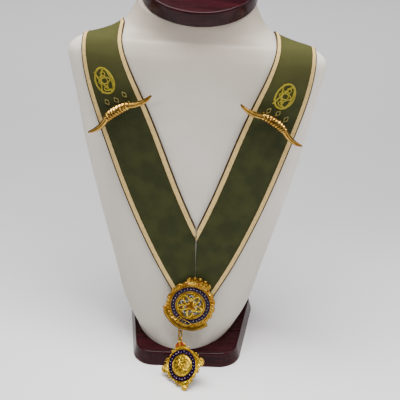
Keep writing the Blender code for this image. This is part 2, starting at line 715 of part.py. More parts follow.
def make_pendant(gilt, enamel, red, parent):
    """Lozenge jewel: three fluted lobes, enamel ring, domed centre, crown and bail."""
    core = bmesh.new()
    half = PENDANT_HALF - PENDANT_LOBE * 0.45
    corners = ((half, 0), (0, half), (-half, 0), (0, -half))
    outline = rounded_outline(corners, 1.5 * MM, 4)
    bridge_rings(core, [[(x, y, 0.0) for x, y in outline],
                        [(x, y, PENDANT_PLATE) for x, y in outline]])
    extras = bmesh.new()
    add_groove_rims(extras, PENDANT_RING_INNER, PENDANT_RING_OUTER, PENDANT_RIM,
                    PENDANT_PLATE, PENDANT_RELIEF, sides=30)
    for quarter in range(4):
        if quarter != 1:
            add_lobe(extras, quarter * math.pi / 2)
        add_side_scrolls(extras, (quarter + 0.5) * math.pi / 2)
    add_crown_frame(extras)
    bail = Vector((0.0, CROWN_FOOT + CROWN_HEIGHT + BAIL_RISE, LUG_RISE))
    add_ring(extras, LUG_RADIUS * 0.9, LUG_WIRE, Matrix.Translation(bail), around=14)
    frame = union("pendant_frame", core, extras, gilt, parent)
    ring = make_enamel_ring("pendant_enamel", PENDANT_RING_INNER, PENDANT_RING_OUTER,
                            PENDANT_PLATE, enamel, parent, sides=30)
    centre = make_rosette_dome("pendant_centre", gilt, parent)
    cap = make_crown_cap("pendant_crown_cap", red, parent)
    return (frame, ring, centre, cap), bail


def add_lobe(bm, angle):
    """A fluted fan at one corner of the lozenge."""
    reach = PENDANT_HALF - PENDANT_LOBE
    flutes = 5
    for k in range(flutes):
        spread = (k - (flutes - 1) / 2) / (flutes - 1)
        swing = spread * 2.1
        centre = (reach * math.cos(angle) + 0.46 * PENDANT_LOBE * math.cos(angle + swing),
                  reach * math.sin(angle) + 0.46 * PENDANT_LOBE * math.sin(angle + swing),
                  PENDANT_PLATE * 0.75)
        add_blob(bm, centre, (PENDANT_LOBE * 0.55, PENDANT_LOBE * 0.24, 1.35 * MM),
                 angle + swing)


def add_side_scrolls(bm, angle):
    """Two small scrolls on one side of the lozenge."""
    reach = PENDANT_RING_OUTER + PENDANT_RIM + 1.3 * MM
    for side in (-1, 1):
        turn = angle + side * 0.24
        centre = (reach * math.cos(turn), reach * math.sin(turn), PENDANT_PLATE * 0.8)
        add_blob(bm, centre, (1.9 * MM, 2.4 * MM, 1.2 * MM), turn + side * 0.5)


def add_crown_frame(bm):
    """Foot band, side arches and orb of the small crown."""
    half = CROWN_WIDTH / 2
    foot = CROWN_FOOT
    band = ((-half, foot - 1.5 * MM), (half, foot - 1.5 * MM), (half, foot + 1.0 * MM),
            (-half, foot + 1.0 * MM))
    add_prism(bm, band, 0.15 * MM, 2.7 * MM)
    tall = CROWN_HEIGHT - 1.0 * MM
    back = [(half * 0.92, foot)]
    for k in range(11):
        angle = math.pi * k / 10
        back.append((half * 1.06 * math.cos(angle), foot + tall * (0.25 + 0.75 * math.sin(angle))))
    back.append((-half * 0.92, foot))
    add_prism(bm, back, 0.1 * MM, 1.0 * MM)
    for side in (-1, 1):
        points = []
        for k in range(9):
            angle = math.pi / 2 * k / 8
            points.append((side * half * 1.02 * math.cos(angle),
                           foot + 0.5 * MM + (tall - 0.5 * MM) * math.sin(angle), 1.3 * MM))
        add_tube(bm, points, [0.75 * MM] * 9, sides=6)
    add_blob(bm, (0.0, foot + tall, 1.2 * MM), (1.0 * MM, 1.0 * MM, 1.1 * MM), 0.3)


def make_crown_cap(name, material, parent):
    """Enamelled cap inside the small crown's arches."""
    bm = bmesh.new()
    half = CROWN_WIDTH / 2 - 1.3 * MM
    foot = CROWN_FOOT + 1.0 * MM + CLEAR
    tall = CROWN_HEIGHT - 3.6 * MM
    rings = []
    for scale, height in ((1.0, PENDANT_PLATE + CLEAR), (1.0, 2.1 * MM), (0.72, 2.7 * MM)):
        ring = [(half * scale, foot), (half * scale, foot + tall * 0.2)]
        for k in range(1, 10):
            angle = math.pi * k / 10
            ring.append((half * scale * math.cos(angle),
                         foot + tall * (0.2 + 0.8 * scale * math.sin(angle))))
        ring += [(-half * scale, foot + tall * 0.2), (-half * scale, foot)]
        rings.append([(x, y, height) for x, y in ring])
    bridge_rings(bm, rings)
    return make_object(name, bm, material, parent)


def make_rosette_dome(name, material, parent):
    """A gilt dome with a raised rosette of eight petals."""
    radius = PENDANT_RING_INNER - PENDANT_RIM - CLEAR
    low = PENDANT_PLATE + CLEAR
    core = bmesh.new()
    profile = [(0, low), (radius, low), (radius, low + 0.6 * MM)]
    for k in range(1, 4):
        angle = math.pi / 2 * k / 4
        profile.append((radius * math.cos(angle),
                        low + 0.6 * MM + (PENDANT_DOME - 0.6 * MM) * math.sin(angle)))
    profile.append((0, low + PENDANT_DOME))
    add_disc(core, profile, sides=28)
    petals = bmesh.new()
    for k in range(8):
        angle = 2 * math.pi * (k + 0.5) / 8
        reach = radius * 0.45
        add_blob(petals, (reach * math.cos(angle), reach * math.sin(angle), low + 2.15 * MM),
                 (radius * 0.3, radius * 0.13, 0.75 * MM), angle)
    add_blob(petals, (0, 0, low + PENDANT_DOME), (1.7 * MM, 1.7 * MM, 0.9 * MM), 0.0, 9, 5)
    return union(name, core, petals, material, parent)


def facing_front(lean, turn):
    """Rotation that stands a flat jewel up, face to the front, leaning back by lean."""
    return (Matrix.Rotation(math.pi / 2 - lean, 4, "X") @ Matrix.Rotation(turn, 4, "Z"))


def lowest_point(objects, matrix):
    return min((matrix @ vertex.co).z for obj in objects for vertex in obj.data.vertices)


def main():
    for obj in list(bpy.data.objects):
        bpy.data.objects.remove(obj, do_unlink=True)

    wood = new_material("dark_wood", (0.045, 0.006, 0.010), 0.18)
    leatherette = new_material("cream_leatherette", (0.78, 0.76, 0.72), 0.55)
    ribbon = new_material("green_ribbon", (0.045, 0.055, 0.014), 0.75)
    gilt = new_material("gilt", (0.62, 0.36, 0.07), 0.28, 1.0)
    navy = new_material("navy_enamel", (0.010, 0.006, 0.055), 0.15)
    red = new_material("red_enamel", (0.38, 0.05, 0.012), 0.2)

    make_base(wood)
    tilt = bpy.data.objects.new("bust_tilt", None)
    bpy.context.scene.collection.objects.link(tilt)
    tilt.location = (FORM_SHIFT, 0.0, BASE_HEIGHT)
    tilt.rotation_euler = (0.0, FORM_LEAN, 0.0)
    form = make_form(leatherette, tilt)
    make_cap(wood, tilt)

    surface = surface_of(form)
    for side, word in ((-1, "left"), (1, "right")):
        half = make_collar_half("collar_" + word, side, surface, ribbon, tilt)
        make_horn_pin("horn_pin_" + word, side, half, gilt, tilt)

    jewel, lug = make_breast_jewel(gilt, navy, tilt)
    chest = surface.find_nearest(Vector((JEWEL_ACROSS, FORM_FRONT_Y, JEWEL_HEIGHT)))[0]
    jewel_place = (Matrix.Translation((JEWEL_ACROSS, chest.y - JEWEL_STANDOFF, JEWEL_HEIGHT))
                   @ facing_front(JEWEL_LEAN, JEWEL_TURN))
    for piece in jewel:
        piece.matrix_local = jewel_place
    tilt_matrix = (Matrix.Translation(tilt.location)
                   @ Matrix.Rotation(FORM_LEAN, 4, "Y"))
    lug_place = tilt_matrix @ jewel_place @ lug

    pendant, bail = make_pendant(gilt, navy, red, None)
    turn = (Matrix.Rotation(PENDANT_SLOPE, 4, "X") @ Matrix.Rotation(-PENDANT_ROLL, 4, "Y")
            @ Matrix.Rotation(PENDANT_SWING, 4, "Z"))
    lift = CLEAR - lowest_point(pendant, turn)
    bail_turned = turn @ bail
    drop = lug_place.z - (bail_turned.z + lift)
    ahead = math.sqrt(max((2 * LINK_RADIUS) ** 2 - drop ** 2, 0.0))
    bail_place = Vector((lug_place.x, lug_place.y - ahead, lug_place.z - drop))
    pendant_place = Matrix.Translation(bail_place - bail_turned) @ turn
    for piece in pendant:
        piece.matrix_local = pendant_place

    line = (bail_place - lug_place).normalized()
    hole = (Matrix.Rotation(LINK_TURN, 3, line) @ Vector((1, 0, 0))).normalized()
    rise = line.cross(hole)
    link_frame = Matrix((line, -rise, hole)).transposed().to_4x4()
    link_bm = bmesh.new()
    add_ring(link_bm, LINK_RADIUS, LINK_WIRE, Matrix.Identity(4), around=16)
    link = make_object("jewel_link", link_bm, gilt)
    link.matrix_local = Matrix.Translation((lug_place + bail_place) / 2) @ link_frame


main()
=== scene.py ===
"""Looks of a ribbon chain of office on a padded neck bust: pieces, materials, lights, camera."""

from bisect import bisect_left
from math import copysign, cos, exp, hypot, pi, radians, sin, sqrt, tan, tau

import bpy
import bmesh
from mathutils import Matrix, Vector, noise
from mathutils.bvhtree import BVHTree


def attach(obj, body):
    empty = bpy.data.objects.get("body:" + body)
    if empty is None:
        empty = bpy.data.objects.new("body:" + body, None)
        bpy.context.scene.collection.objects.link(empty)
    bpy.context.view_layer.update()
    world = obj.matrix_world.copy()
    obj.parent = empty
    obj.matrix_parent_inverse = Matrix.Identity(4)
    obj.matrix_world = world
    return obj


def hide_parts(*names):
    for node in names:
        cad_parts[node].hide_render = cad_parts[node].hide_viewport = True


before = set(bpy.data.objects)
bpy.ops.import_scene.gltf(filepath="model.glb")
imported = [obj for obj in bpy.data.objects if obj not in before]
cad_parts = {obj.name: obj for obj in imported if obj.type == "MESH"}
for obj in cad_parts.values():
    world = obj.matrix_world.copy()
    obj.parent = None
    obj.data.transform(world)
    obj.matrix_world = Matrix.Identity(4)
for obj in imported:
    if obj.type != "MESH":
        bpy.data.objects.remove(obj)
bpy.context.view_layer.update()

MM = 0.001
CLEAR = 0.3 * MM

# Camera, fitted to the photograph
CAMERA_AIM = Vector((13.0, -30.0, 175.0)) * MM
CAMERA_DISTANCE = 1000.0 * MM
CAMERA_ELEVATION = radians(32.0)
CAMERA_AZIMUTH = radians(3.0)
CAMERA_LENS = 103.45

# Wooden base
BASE_HEIGHT = 14.0 * MM
BASE_FRONT_WIDTH = 96.5 * MM
BASE_BACK_WIDTH = 126.0 * MM
BASE_DEPTH = 112.0 * MM
BASE_FRONT_Y = -45.5 * MM
BASE_SIDE_SLOPE = 2.8 * MM
BASE_CORNER_RADIUS = 20.0 * MM
BASE_EDGE_RADIUS = 1.6 * MM

# Padded bust
FORM_HEIGHT = 323.0 * MM
SHOULDER_WIDTH = 223.0 * MM
FORM_DEPTH = 96.0 * MM
FORM_FRONT_Y = -38.5 * MM
FORM_LEAN = radians(2.5)
FORM_SHIFT = -3.8 * MM
FORM_SIDES = 180                # points round each ring
FORM_STEPS = 9                  # rings for each row of FORM_SECTIONS

# Wooden cap on the neck
CAP_WIDTH = 99.0 * MM
CAP_DEPTH = 79.0 * MM
CAP_HEIGHT = 16.0 * MM
CAP_TILT = radians(21.0)
CAP_EDGE_RADIUS = 1.8 * MM
CAP_CENTRE_Y = FORM_FRONT_Y + 0.78 * FORM_DEPTH
CAP_SHIFT = -1.2 * MM
CAP_SIDES = 120                 # points round each ring
CAP_RISE = FORM_HEIGHT + 1.3 * MM

# Ribbon
RIBBON_WIDTH = 50.0 * MM
RIBBON_THICKNESS = 1.1 * MM
RIBBON_LIFT = 0.45 * MM         # least gap over the bust
RIBBON_SLACK = 0.50             # 0 follows the bust, 1 stays flat across
RIBBON_BLUR = 4                 # smoothing passes
RIBBON_COLUMNS = 4              # coarse columns across
RIBBON_FINE_ROWS = 3            # fine rows for each coarse one
COLLAR_SHIFT = 11.6 * MM
COLLAR_SWING = radians(2.0)
SEAM_GAP = 0.4 * MM
SEAM_OPEN = 0.35 * MM           # the seam stands open this much more on each side, higher up
SEAM_OPENS = (82 * MM, 112 * MM)  # heights between which it opens
STRIPE_IN = 19.0                # mm from the ribbon's middle, where the braid starts
STRIPE_OUT = 22.9               # mm, where the dark edge starts
# mm from the middle, so that the braid and the edge have columns of their own
RIBBON_HALF = (5.0, 9.5, 13.5, 17.0, 19.1, 19.5, 21.0, 22.5, 23.6, 24.0, 24.7, 25.0)
RIBBON_LINES = (*(-u for u in reversed(RIBBON_HALF)), 0.0, *RIBBON_HALF)

# Embroidery, in mm up the bust, by side: across from the bust's axis, height above the base
EMBLEMS = {-1: (-75.6, 256.1), 1: (75.3, 253.8)}
LOZENGES = {
    -1: ((-76.0, 237.5), (-68.3, 241.0), (-60.4, 247.0)),
    1: ((63.6, 241.0), (69.9, 236.0), (78.4, 231.5)),
}
STITCH_SPACING = 0.34           # mm along the path
STITCH_SLANT = 0.35

# Horn pins, in mm where MM isn't named
PIN_SPAN = 70.0
PIN_RISE = 5.5
PIN_THICKNESS = 8.0
# by side: across from the collar's middle plane, height above the base's top, tilt
PIN_PLACES = {
    -1: (67.8 * MM, 233.0 * MM, radians(38.0)),
    1: (64.4 * MM, 231.0 * MM, radians(36.5)),
}
PIN_BOUND = 0.36                # share of each half that is bound with cord
PIN_WRAPS = 9                   # turns of the cord
PIN_STEPS = 260
PIN_SIDES = 40
FOOT_REACH = 10.5
FOOT_RADIUS = 1.3

# Round jewel, in mm in its own frame: X right, Y up, Z out
JEWEL_PLATE = 1.3
JEWEL_RING_OUTER = 18.0
JEWEL_RING_INNER = 14.0
JEWEL_RIM = 0.9
JEWEL_RELIEF = 2.6
JEWEL_BORDER = 21.6             # where the border's edge dips between its leaves
JEWEL_TURN = radians(-17.0)
JEWEL_LEAN = radians(15.0)
CREST_WIDTH = 23.4
CREST_TOP = 28.2
CREST_FOOT = 19.4
BANNER_RADIUS = 23.2
BANNER_WIDTH = 5.2
BANNER_STEPS = 96
BANNER_ENDS = (radians(206.0), radians(328.0))
LUG_RADIUS = 2.0
LUG_WIRE = 0.55
BORDER_STEPS = 360              # points round a leaf border, and its bands
BORDER_BANDS = 11
RING_SIDES = 120                # points round an enamel ring and its rims

# Link
LINK_RADIUS = 4.25
LINK_WIRE = 0.7
LINK_TURN = radians(14.0)

# Lozenge pendant, in mm in its own frame
PENDANT_HALF = 23.2
PENDANT_PLATE = 1.2
PENDANT_RING_OUTER = 14.4
PENDANT_RING_INNER = 10.7
PENDANT_RIM = 0.8
PENDANT_RELIEF = 2.4
PENDANT_DOME = 2.6
PENDANT_LOBE = 4.4
PENDANT_SLOPE = radians(46.0)
PENDANT_ROLL = radians(28.0)
PENDANT_SWING = radians(9.0)
CROWN_WIDTH = 10.6
CROWN_HEIGHT = 6.4
CROWN_FOOT = 16.4
BAIL_RISE = 1.3
ENAMEL_THICKNESS = 0.9
ENAMEL_SEAT = 0.3               # how far the enamel starts above the plate

# Stage and lights
FLOOR_RADII = (0.3, 0.9, 2.5, 9.0)
FLOOR_SIDES = 48
ROOM_COLOUR = (0.88, 0.89, 0.95, 1.0)
ROOM_STRENGTH = 0.13
LIGHTS = (
    # name, place, what it points at, width and height, power, colour
    ("top_light", (-0.05, -0.10, 1.30), (0.0, 0.0, 0.10), (1.3, 0.50), 37.0, (1.0, 0.99, 0.97)),
    ("front_light", (-0.95, -0.95, 1.10), (0.0, 0.0, 0.20), (0.4, 0.4), 5.5, (1.0, 0.97, 0.93)),
    ("right_light", (1.25, -0.30, 0.85), (0.0, 0.0, 0.2), (0.4, 0.6), 9.0, (1.0, 0.97, 0.95)),
)

# Sections of the bust as in the solid
FORM_SECTIONS = (
    # height, width, front, middle, back, bow, wing, aside
    (0.000, 0.430, 0.000, 0.651, 0.776, 1.96, 0.35, 0.000),
    (0.080, 0.544, 0.070, 0.672, 0.818, 2.15, 0.35, 0.000),
    (0.192, 0.623, 0.138, 0.682, 0.859, 2.25, 0.40, 0.000),
    (0.387, 0.757, 0.224, 0.672, 0.922, 2.30, 0.50, 0.000),
    (0.576, 0.868, 0.286, 0.641, 0.964, 2.34, 0.70, 0.000),
    (0.721, 0.927, 0.323, 0.599, 0.995, 2.42, 0.70, 0.000),
    (0.817, 0.975, 0.349, 0.568, 1.005, 2.50, 0.80, 0.000),
    (0.861, 0.985, 0.370, 0.557, 1.005, 2.50, 1.00, 0.000),
    (0.885, 0.940, 0.396, 0.557, 1.005, 2.40, 1.20, -0.002),
    (0.901, 0.858, 0.422, 0.568, 1.010, 2.30, 1.30, -0.004),
    (0.910, 0.746, 0.443, 0.589, 1.016, 2.20, 1.20, -0.007),
    (0.920, 0.634, 0.448, 0.630, 1.026, 2.10, 1.00, -0.010),
    (0.935, 0.545, 0.443, 0.693, 1.047, 2.00, 0.70, -0.013),
    (0.963, 0.484, 0.432, 0.745, 1.089, 2.00, 0.50, -0.014),
    (1.000, 0.438, 0.422, 0.776, 1.130, 2.00, 0.50, -0.014),
)

# Middle line of a ribbon half as in the solid
COLLAR_ROUTE = (
    # across, depth, height, width
    (-0.235, 0.070, 0.080, 0.900),
    (0.013, 0.130, 0.226, 0.935),
    (0.131, 0.190, 0.300, 0.967),
    (0.320, 0.250, 0.443, 0.992),
    (0.449, 0.315, 0.570, 1.000),
    (0.568, 0.360, 0.693, 0.969),
    (0.667, 0.380, 0.786, 0.876),
    (0.715, 0.410, 0.854, 0.764),
    (0.732, 0.480, 0.898, 0.690),
    (0.716, 0.620, 0.915, 0.690),
    (0.688, 0.720, 0.885, 0.730),
    (0.652, 0.790, 0.838, 0.790),
    (0.598, 0.850, 0.788, 0.850),
    (0.522, 0.900, 0.735, 0.910),
    (0.420, 0.940, 0.678, 0.950),
    (0.290, 0.970, 0.620, 0.980),
    (0.150, 0.980, 0.570, 1.000),
    (0.000, 0.990, 0.525, 1.000),
    (-0.220, 0.980, 0.460, 1.000),
)
RIDGE_ROWS = (7, 11)            # rows of the route that cross the shoulder

# Section of the round jewel's scroll: across in half widths, height in mm, how dark its hollows are
BANNER_PROFILE = (
    (-1.0, 0.2, 0.6), (-1.0, 1.3, 0.5), (-0.84, 2.1, 0.1), (-0.62, 1.75, 0.75), (-0.2, 2.15, 0.2),
    (0.25, 2.45, 0.0), (0.62, 2.05, 0.6), (0.86, 2.35, 0.1), (1.0, 1.5, 0.4), (1.0, 0.2, 0.6),
)

# Half of a horn pin from its middle to its tip: along, rise, girth
HORN_PROFILE = (
    (0.00, 1.00, 1.00),
    (0.14, 0.97, 0.98),
    (0.27, 0.86, 0.88),
    (0.38, 0.62, 0.70),
    (0.50, 0.34, 0.67),
    (0.63, 0.14, 0.63),
    (0.76, 0.08, 0.54),
    (0.88, 0.14, 0.42),
    (0.96, 0.24, 0.28),
    (1.00, 0.30, 0.16),
)

LOOKS = {}


class Term:
    """A value that a material works out, open to plain arithmetic."""

    def __init__(self, look, socket):
        self.look = look
        self.socket = socket

    def __add__(self, other):
        return self.look.math("ADD", self, other)

    def __sub__(self, other):
        return self.look.math("SUBTRACT", self, other)

    def __rsub__(self, other):
        return self.look.math("SUBTRACT", other, self)

    def __mul__(self, other):
        return self.look.math("MULTIPLY", self, other)

    def __abs__(self):
        return self.look.math("ABSOLUTE", self)


class Look:
    """A material being made: its shader, its slot, and helpers that add nodes to it."""

    def __init__(self, name, slot, colour, roughness, metallic=0.0):
        material = bpy.data.materials.new(name)
        material.use_nodes = True
        LOOKS[name] = (material, slot)
        self.tree = material.node_tree
        self.shader = self.tree.nodes["Principled BSDF"]
        self.colour = colour
        self.normal = {}
        self.set({"Base Color": colour, "Roughness": roughness, "Metallic": metallic})
        # the piece's own coordinates, in millimetres
        self.where = self.scaled(self.node("TexCoord", output="Object"), (1000.0, 1000.0, 1000.0))

    def set(self, values):
        for name, value in values.items():
            self.plug(self.shader.inputs[name], value)

    def plug(self, socket, value):
        if isinstance(value, Term):
            self.tree.links.new(value.socket, socket)
        elif socket.type == "RGBA":
            socket.default_value = (*value, 1.0)
        else:
            socket.default_value = value

    def outputs(self, kind, inputs=None, **settings):
        made = self.tree.nodes.new("ShaderNode" + kind)
        for key, value in settings.items():
            setattr(made, key, value)
        for key, value in (inputs or {}).items():
            self.plug(made.inputs[key], value)
        return made.outputs

    def node(self, kind, inputs=None, output=0, **settings):
        return Term(self, self.outputs(kind, inputs, **settings)[output])

    def parts(self, vector):
        return [Term(self, socket) for socket in self.outputs("SeparateXYZ", {0: vector})]

    def math(self, operation, a, b=0.0):
        return self.node("Math", {0: a, 1: b}, operation=operation)

    def scaled(self, vector, scale):
        return self.node("VectorMath", {0: vector, 1: scale}, operation="MULTIPLY")

    def noise(self, scale, detail=4.0, rough=0.5, stretch=(1.0, 1.0, 1.0)):
        return self.node("TexNoise", {"Vector": self.scaled(self.where, stretch), "Scale": scale,
                                      "Detail": detail, "Roughness": rough}, "Fac")

    def span(self, value, low, high, out_low=0.0, out_high=1.0):
        return self.node("MapRange", {0: value, 1: low, 2: high, 3: out_low, 4: out_high},
                         interpolation_type="SMOOTHSTEP")

    def mark(self):
        """The number that each point of the piece carries."""
        return self.node("Attribute", output="Fac", attribute_name="mark")

    def mix(self, share, a, b):
        return self.node("Mix", {0: share, 6: a, 7: b}, 2, data_type="RGBA")

    def tint(self, share, colour, over=None):
        """Lay a colour over another, or over what the material has so far."""
        self.colour = self.mix(share, over or self.colour, colour)
        self.set({"Base Color": self.colour})

    def bump(self, height, strength, distance):
        self.normal = {"Normal": self.node("Bump", {"Height": height, "Strength": strength,
                                                    "Distance": distance, **self.normal})}
        self.set(self.normal)


def make_wood_look():
    look = Look("polished_dark_wood", "dark_wood", (0.040, 0.006, 0.010), 0.30)
    grain = look.noise(1.0, 8.0, 0.65, stretch=(0.02, 0.35, 0.35))
    fine = look.noise(1.0, stretch=(0.15, 2.6, 2.6))
    worn = look.mark() * look.span(look.noise(0.7, 5.0), 0.42, 0.60)
    look.tint(look.span(grain, 0.35, 0.68), (0.030, 0.0042, 0.0066), (0.012, 0.0019, 0.0032))
    look.tint(look.span(fine, 0.55, 0.75, 0.0, 0.35), (0.012, 0.002, 0.003))
    look.tint(worn, (0.20, 0.095, 0.070))
    look.set({"Roughness": look.span(fine, 0.2, 0.8, 0.16, 0.30), "Specular IOR Level": 0.09,
              "Coat Weight": 0.06, "Coat Roughness": 0.12})
    look.bump(fine, 0.06, 0.0002)


def make_leatherette_look():
    """Cream leatherette, dusty at its foot, with painted shade at the neck and towards the bottom,
    and a painted highlight on both sides.
    """
    look = Look("cream_leatherette", "cream_leatherette", (0.60, 0.57, 0.52), 0.5)
    cells = look.node("TexVoronoi", {"Vector": look.where, "Scale": 1.15, "Randomness": 1.0},
                      "Distance", feature="DISTANCE_TO_EDGE")
    pores = look.noise(2.6, 6.0, 0.6)
    patches = look.noise(0.018, 3.0)
    dust = look.mark() * look.span(look.noise(0.12, 5.0), 0.40, 0.7)
    x, _, z = look.parts(look.where)
    across = abs(x)
    # painted shade: where the cap's shadow falls on the neck, near the middle
    painted_neck_shade = look.span(z, 215.0, 315.0) * look.span(across, 88.0, 44.0)
    look.tint(look.span(patches, 0.35, 0.65), (0.655, 0.620, 0.555), (0.610, 0.570, 0.505))
    look.tint(look.span(cells, 0.0, 0.16, 0.20, 0.0), (0.45, 0.42, 0.37))
    look.tint(dust * 0.55, (0.36, 0.32, 0.27))
    # painted highlight: the bust is paler towards its sides, where light falls on its flanks
    look.tint(look.span(across, 66.0, 100.0) * 0.75, (0.76, 0.715, 0.635))
    # painted shade on the neck under the cap
    look.tint(painted_neck_shade * 0.72, (0.37, 0.305, 0.230))
    # painted shade: darker towards the bottom of the bust
    look.tint(look.span(z, 140.0, 20.0) * 0.45, (0.37, 0.335, 0.265))
    look.set({"Roughness": look.span(pores, 0.3, 0.7, 0.42, 0.58), "Specular IOR Level": 0.42})
    look.bump(look.span(cells, 0.0, 0.25), 0.25, 0.00012)
    look.bump(pores, 0.10, 0.00015)


def make_ribbon_look():
    """Ribbed green ribbon with a cream braid near both edges and a dark outer edge."""
    look = Look("green_ribbon", "green_ribbon", (0.045, 0.055, 0.014), 0.75)
    look.where = look.scaled(look.node("UVMap", uv_map="cloth"), (1000.0, 1000.0, 1.0))
    across, along, _ = look.parts(look.where)
    off = abs(across)

    def raised(value, pitch):
        return (look.math("SINE", value * (tau / pitch)) + 1.0) * 0.5

    weave = raised(along, 0.62) * 0.65 + raised(across, 0.41) * 0.35
    slubs = look.noise(1.0, stretch=(0.25, 2.2, 1.0))
    patches = look.noise(0.055, 3.0)
    look.tint(look.span(patches, 0.35, 0.68), (0.038, 0.042, 0.0090), (0.022, 0.026, 0.0055))
    # the ribbon is paler high up on the shoulders, less so on the back
    look.tint(look.mark() * 0.75, (0.080, 0.077, 0.0190))
    look.tint(weave * 0.40, (0.014, 0.018, 0.005))
    look.tint(look.span(slubs, 0.55, 0.80, 0.0, 0.35), (0.060, 0.064, 0.0200))

    twill = raised(off * 1.2 + along, 0.95)
    stain = look.span(look.noise(0.35), 0.35, 0.7)
    cream = look.mix(stain, (0.72, 0.53, 0.205), (0.58, 0.41, 0.150))
    cream = look.mix(twill * 0.26, cream, (0.34, 0.22, 0.10))
    edge_at = off + (look.noise(0.45, 2.0) - 0.5) * 0.5
    in_braid = look.span(edge_at, STRIPE_IN - 0.15, STRIPE_IN + 0.15)
    groove = look.span(edge_at, STRIPE_IN - 1.1, STRIPE_IN - 0.2) * (1.0 - in_braid)
    look.tint(groove * 0.85, (0.016, 0.011, 0.004))
    look.tint(in_braid, cream)
    look.tint(look.span(off, STRIPE_OUT - 0.15, STRIPE_OUT + 0.2), (0.028, 0.011, 0.005))
    look.set({"Roughness": look.span(slubs, 0.3, 0.8, 0.68, 0.86), "Specular IOR Level": 0.18,
              "Sheen Weight": 0.10, "Sheen Roughness": 0.45, "Sheen Tint": (0.80, 0.75, 0.45)})
    look.bump(weave * (1.0 - in_braid) + twill * in_braid, 0.55, 0.00018)
    look.bump(slubs, 0.25, 0.00020)


def make_thread_look(name, light, dark):
    look = Look(name, "green_ribbon", light, 0.42)
    look.tint(look.span(look.noise(1.6, 3.0), 0.35, 0.68), light, dark)
    look.tint(look.mark() * 0.55, [part * 0.4 for part in dark])
    look.set({"Sheen Weight": 0.08, "Specular IOR Level": 0.30})
    look.bump(look.noise(9.0, 2.0), 0.3, 0.0001)


def make_gilt_look(name, bright, deep, roughness, worn):
    """Gilt metal; the mark darkens hollows and undersides with old polish and tarnish."""
    look = Look(name, "gilt", bright, roughness, 1.0)
    speck = look.noise(1.9, 6.0, 0.62)
    hollow = look.math("MAXIMUM", look.mark(), look.span(speck, 0.50, 0.74) * worn)
    look.tint(look.span(look.noise(0.16, 5.0, 0.6), 0.34, 0.70), bright, deep)
    look.tint(hollow, [part * share for part, share in zip(deep, (0.16, 0.10, 0.07))])
    rough = look.span(speck, 0.25, 0.75, roughness - 0.07, roughness + 0.13)
    look.set({"Roughness": rough + look.mark() * 0.25})
    look.bump(speck, 0.16, 0.00025)
    look.bump(look.noise(0.8, 3.0), 0.10, 0.0005)


def make_enamel_look(name, slot, colour, light):
    look = Look(name, slot, colour, 0.13)
    pits = look.noise(3.2, 3.0)
    look.tint(look.span(look.noise(0.35, 3.0), 0.35, 0.7), light, colour)
    look.tint(look.span(pits, 0.62, 0.78, 0.0, 0.5), (0.05, 0.03, 0.08))
    look.set({"Roughness": look.span(pits, 0.4, 0.8, 0.13, 0.33), "Coat Weight": 0.08,
              "Coat Roughness": 0.06, "Specular IOR Level": 0.18})
    look.bump(look.noise(0.7, 2.0), 0.12, 0.0004)


def make_looks():
    make_wood_look()
    make_leatherette_look()
    make_ribbon_look()
    make_thread_look("gold_thread", (0.50, 0.42, 0.012), (0.20, 0.150, 0.006))
    make_thread_look("dull_gold_thread", (0.30, 0.26, 0.070), (0.15, 0.125, 0.030))
    make_gilt_look("gilt", (0.53, 0.335, 0.045), (0.32, 0.155, 0.016), 0.24, 0.65)
    make_gilt_look("bright_gilt", (0.75, 0.52, 0.040), (0.44, 0.260, 0.014), 0.20, 0.55)
    make_gilt_look("pinkish_gilt", (0.62, 0.45, 0.42), (0.40, 0.26, 0.28), 0.30, 0.3)
    make_gilt_look("pin_gilt", (0.60, 0.380, 0.085), (0.32, 0.160, 0.025), 0.17, 0.6)
    make_enamel_look("navy_enamel", "navy_enamel", (0.0040, 0.0010, 0.0115),
                     (0.0090, 0.0025, 0.0260))
    make_enamel_look("red_enamel", "red_enamel", (0.17, 0.018, 0.003), (0.27, 0.048, 0.010))
    make_enamel_look("grey_green_enamel", "navy_enamel", (0.030, 0.045, 0.040),
                     (0.085, 0.105, 0.090))
    make_enamel_look("white_enamel", "navy_enamel", (0.42, 0.40, 0.38), (0.55, 0.52, 0.50))


# Shapes and pieces

def turns(count, offset=0.0):
    """Equal steps round a full turn."""
    return [tau * (k + offset) / count for k in range(count)]


def shares(count):
    """Equal steps from 0 to 1."""
    return [k / count for k in range(count + 1)]


def neighbours(values, closed=False):
    """Each value between the ones before and after it, going round or repeated at the ends."""
    before, after = (values[-1], values[0]) if closed else (values[0], values[-1])
    return zip([before, *values[:-1]], values, [*values[1:], after])


def around(radius, angle, middle=(0.0, 0.0)):
    return middle[0] + radius * cos(angle), middle[1] + radius * sin(angle)


def circle(radius, steps, height=0.0, middle=(0.0, 0.0)):
    return [(*around(radius, angle, middle), height) for angle in turns(steps)]


def oval(width, height, steps):
    return [(width * cos(angle), height * sin(angle)) for angle in turns(steps)]


def ease(value, low, high):
    share = min(max((value - low) / (high - low), 0.0), 1.0)
    return share * share * (3 - 2 * share)


def smooth_row(rows, position):
    """Read a table at a fractional row with a Catmull-Rom curve through its columns."""
    last = len(rows) - 1
    index = min(max(int(position), 0), last - 1)
    t = position - index
    near = (rows[max(index - 1, 0)], rows[index], rows[index + 1], rows[min(index + 2, last)])
    return tuple(
        0.5 * (2 * b + (c - a) * t + (2 * a - 5 * b + 4 * c - d) * t * t
               + (3 * b - a - 3 * c + d) * t ** 3)
        for a, b, c, d in zip(*near))


def add(name, data):
    obj = bpy.data.objects.new(name, data)
    bpy.context.scene.collection.objects.link(obj)
    return obj


def set_marks(mesh, marks):
    mesh.attributes.new("mark", "FLOAT", "POINT")
    mesh.attributes["mark"].data.foreach_set("value", marks)


def piece(name, mesh, look, matrix, node):
    """Make a piece that rides on the part; where node is given, it stands for that solid."""
    material, slot = LOOKS[look]
    mesh.materials.append(material)
    obj = add(name, mesh)
    obj.matrix_world = matrix
    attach(obj, "root")
    if node:
        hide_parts(node)
    return obj


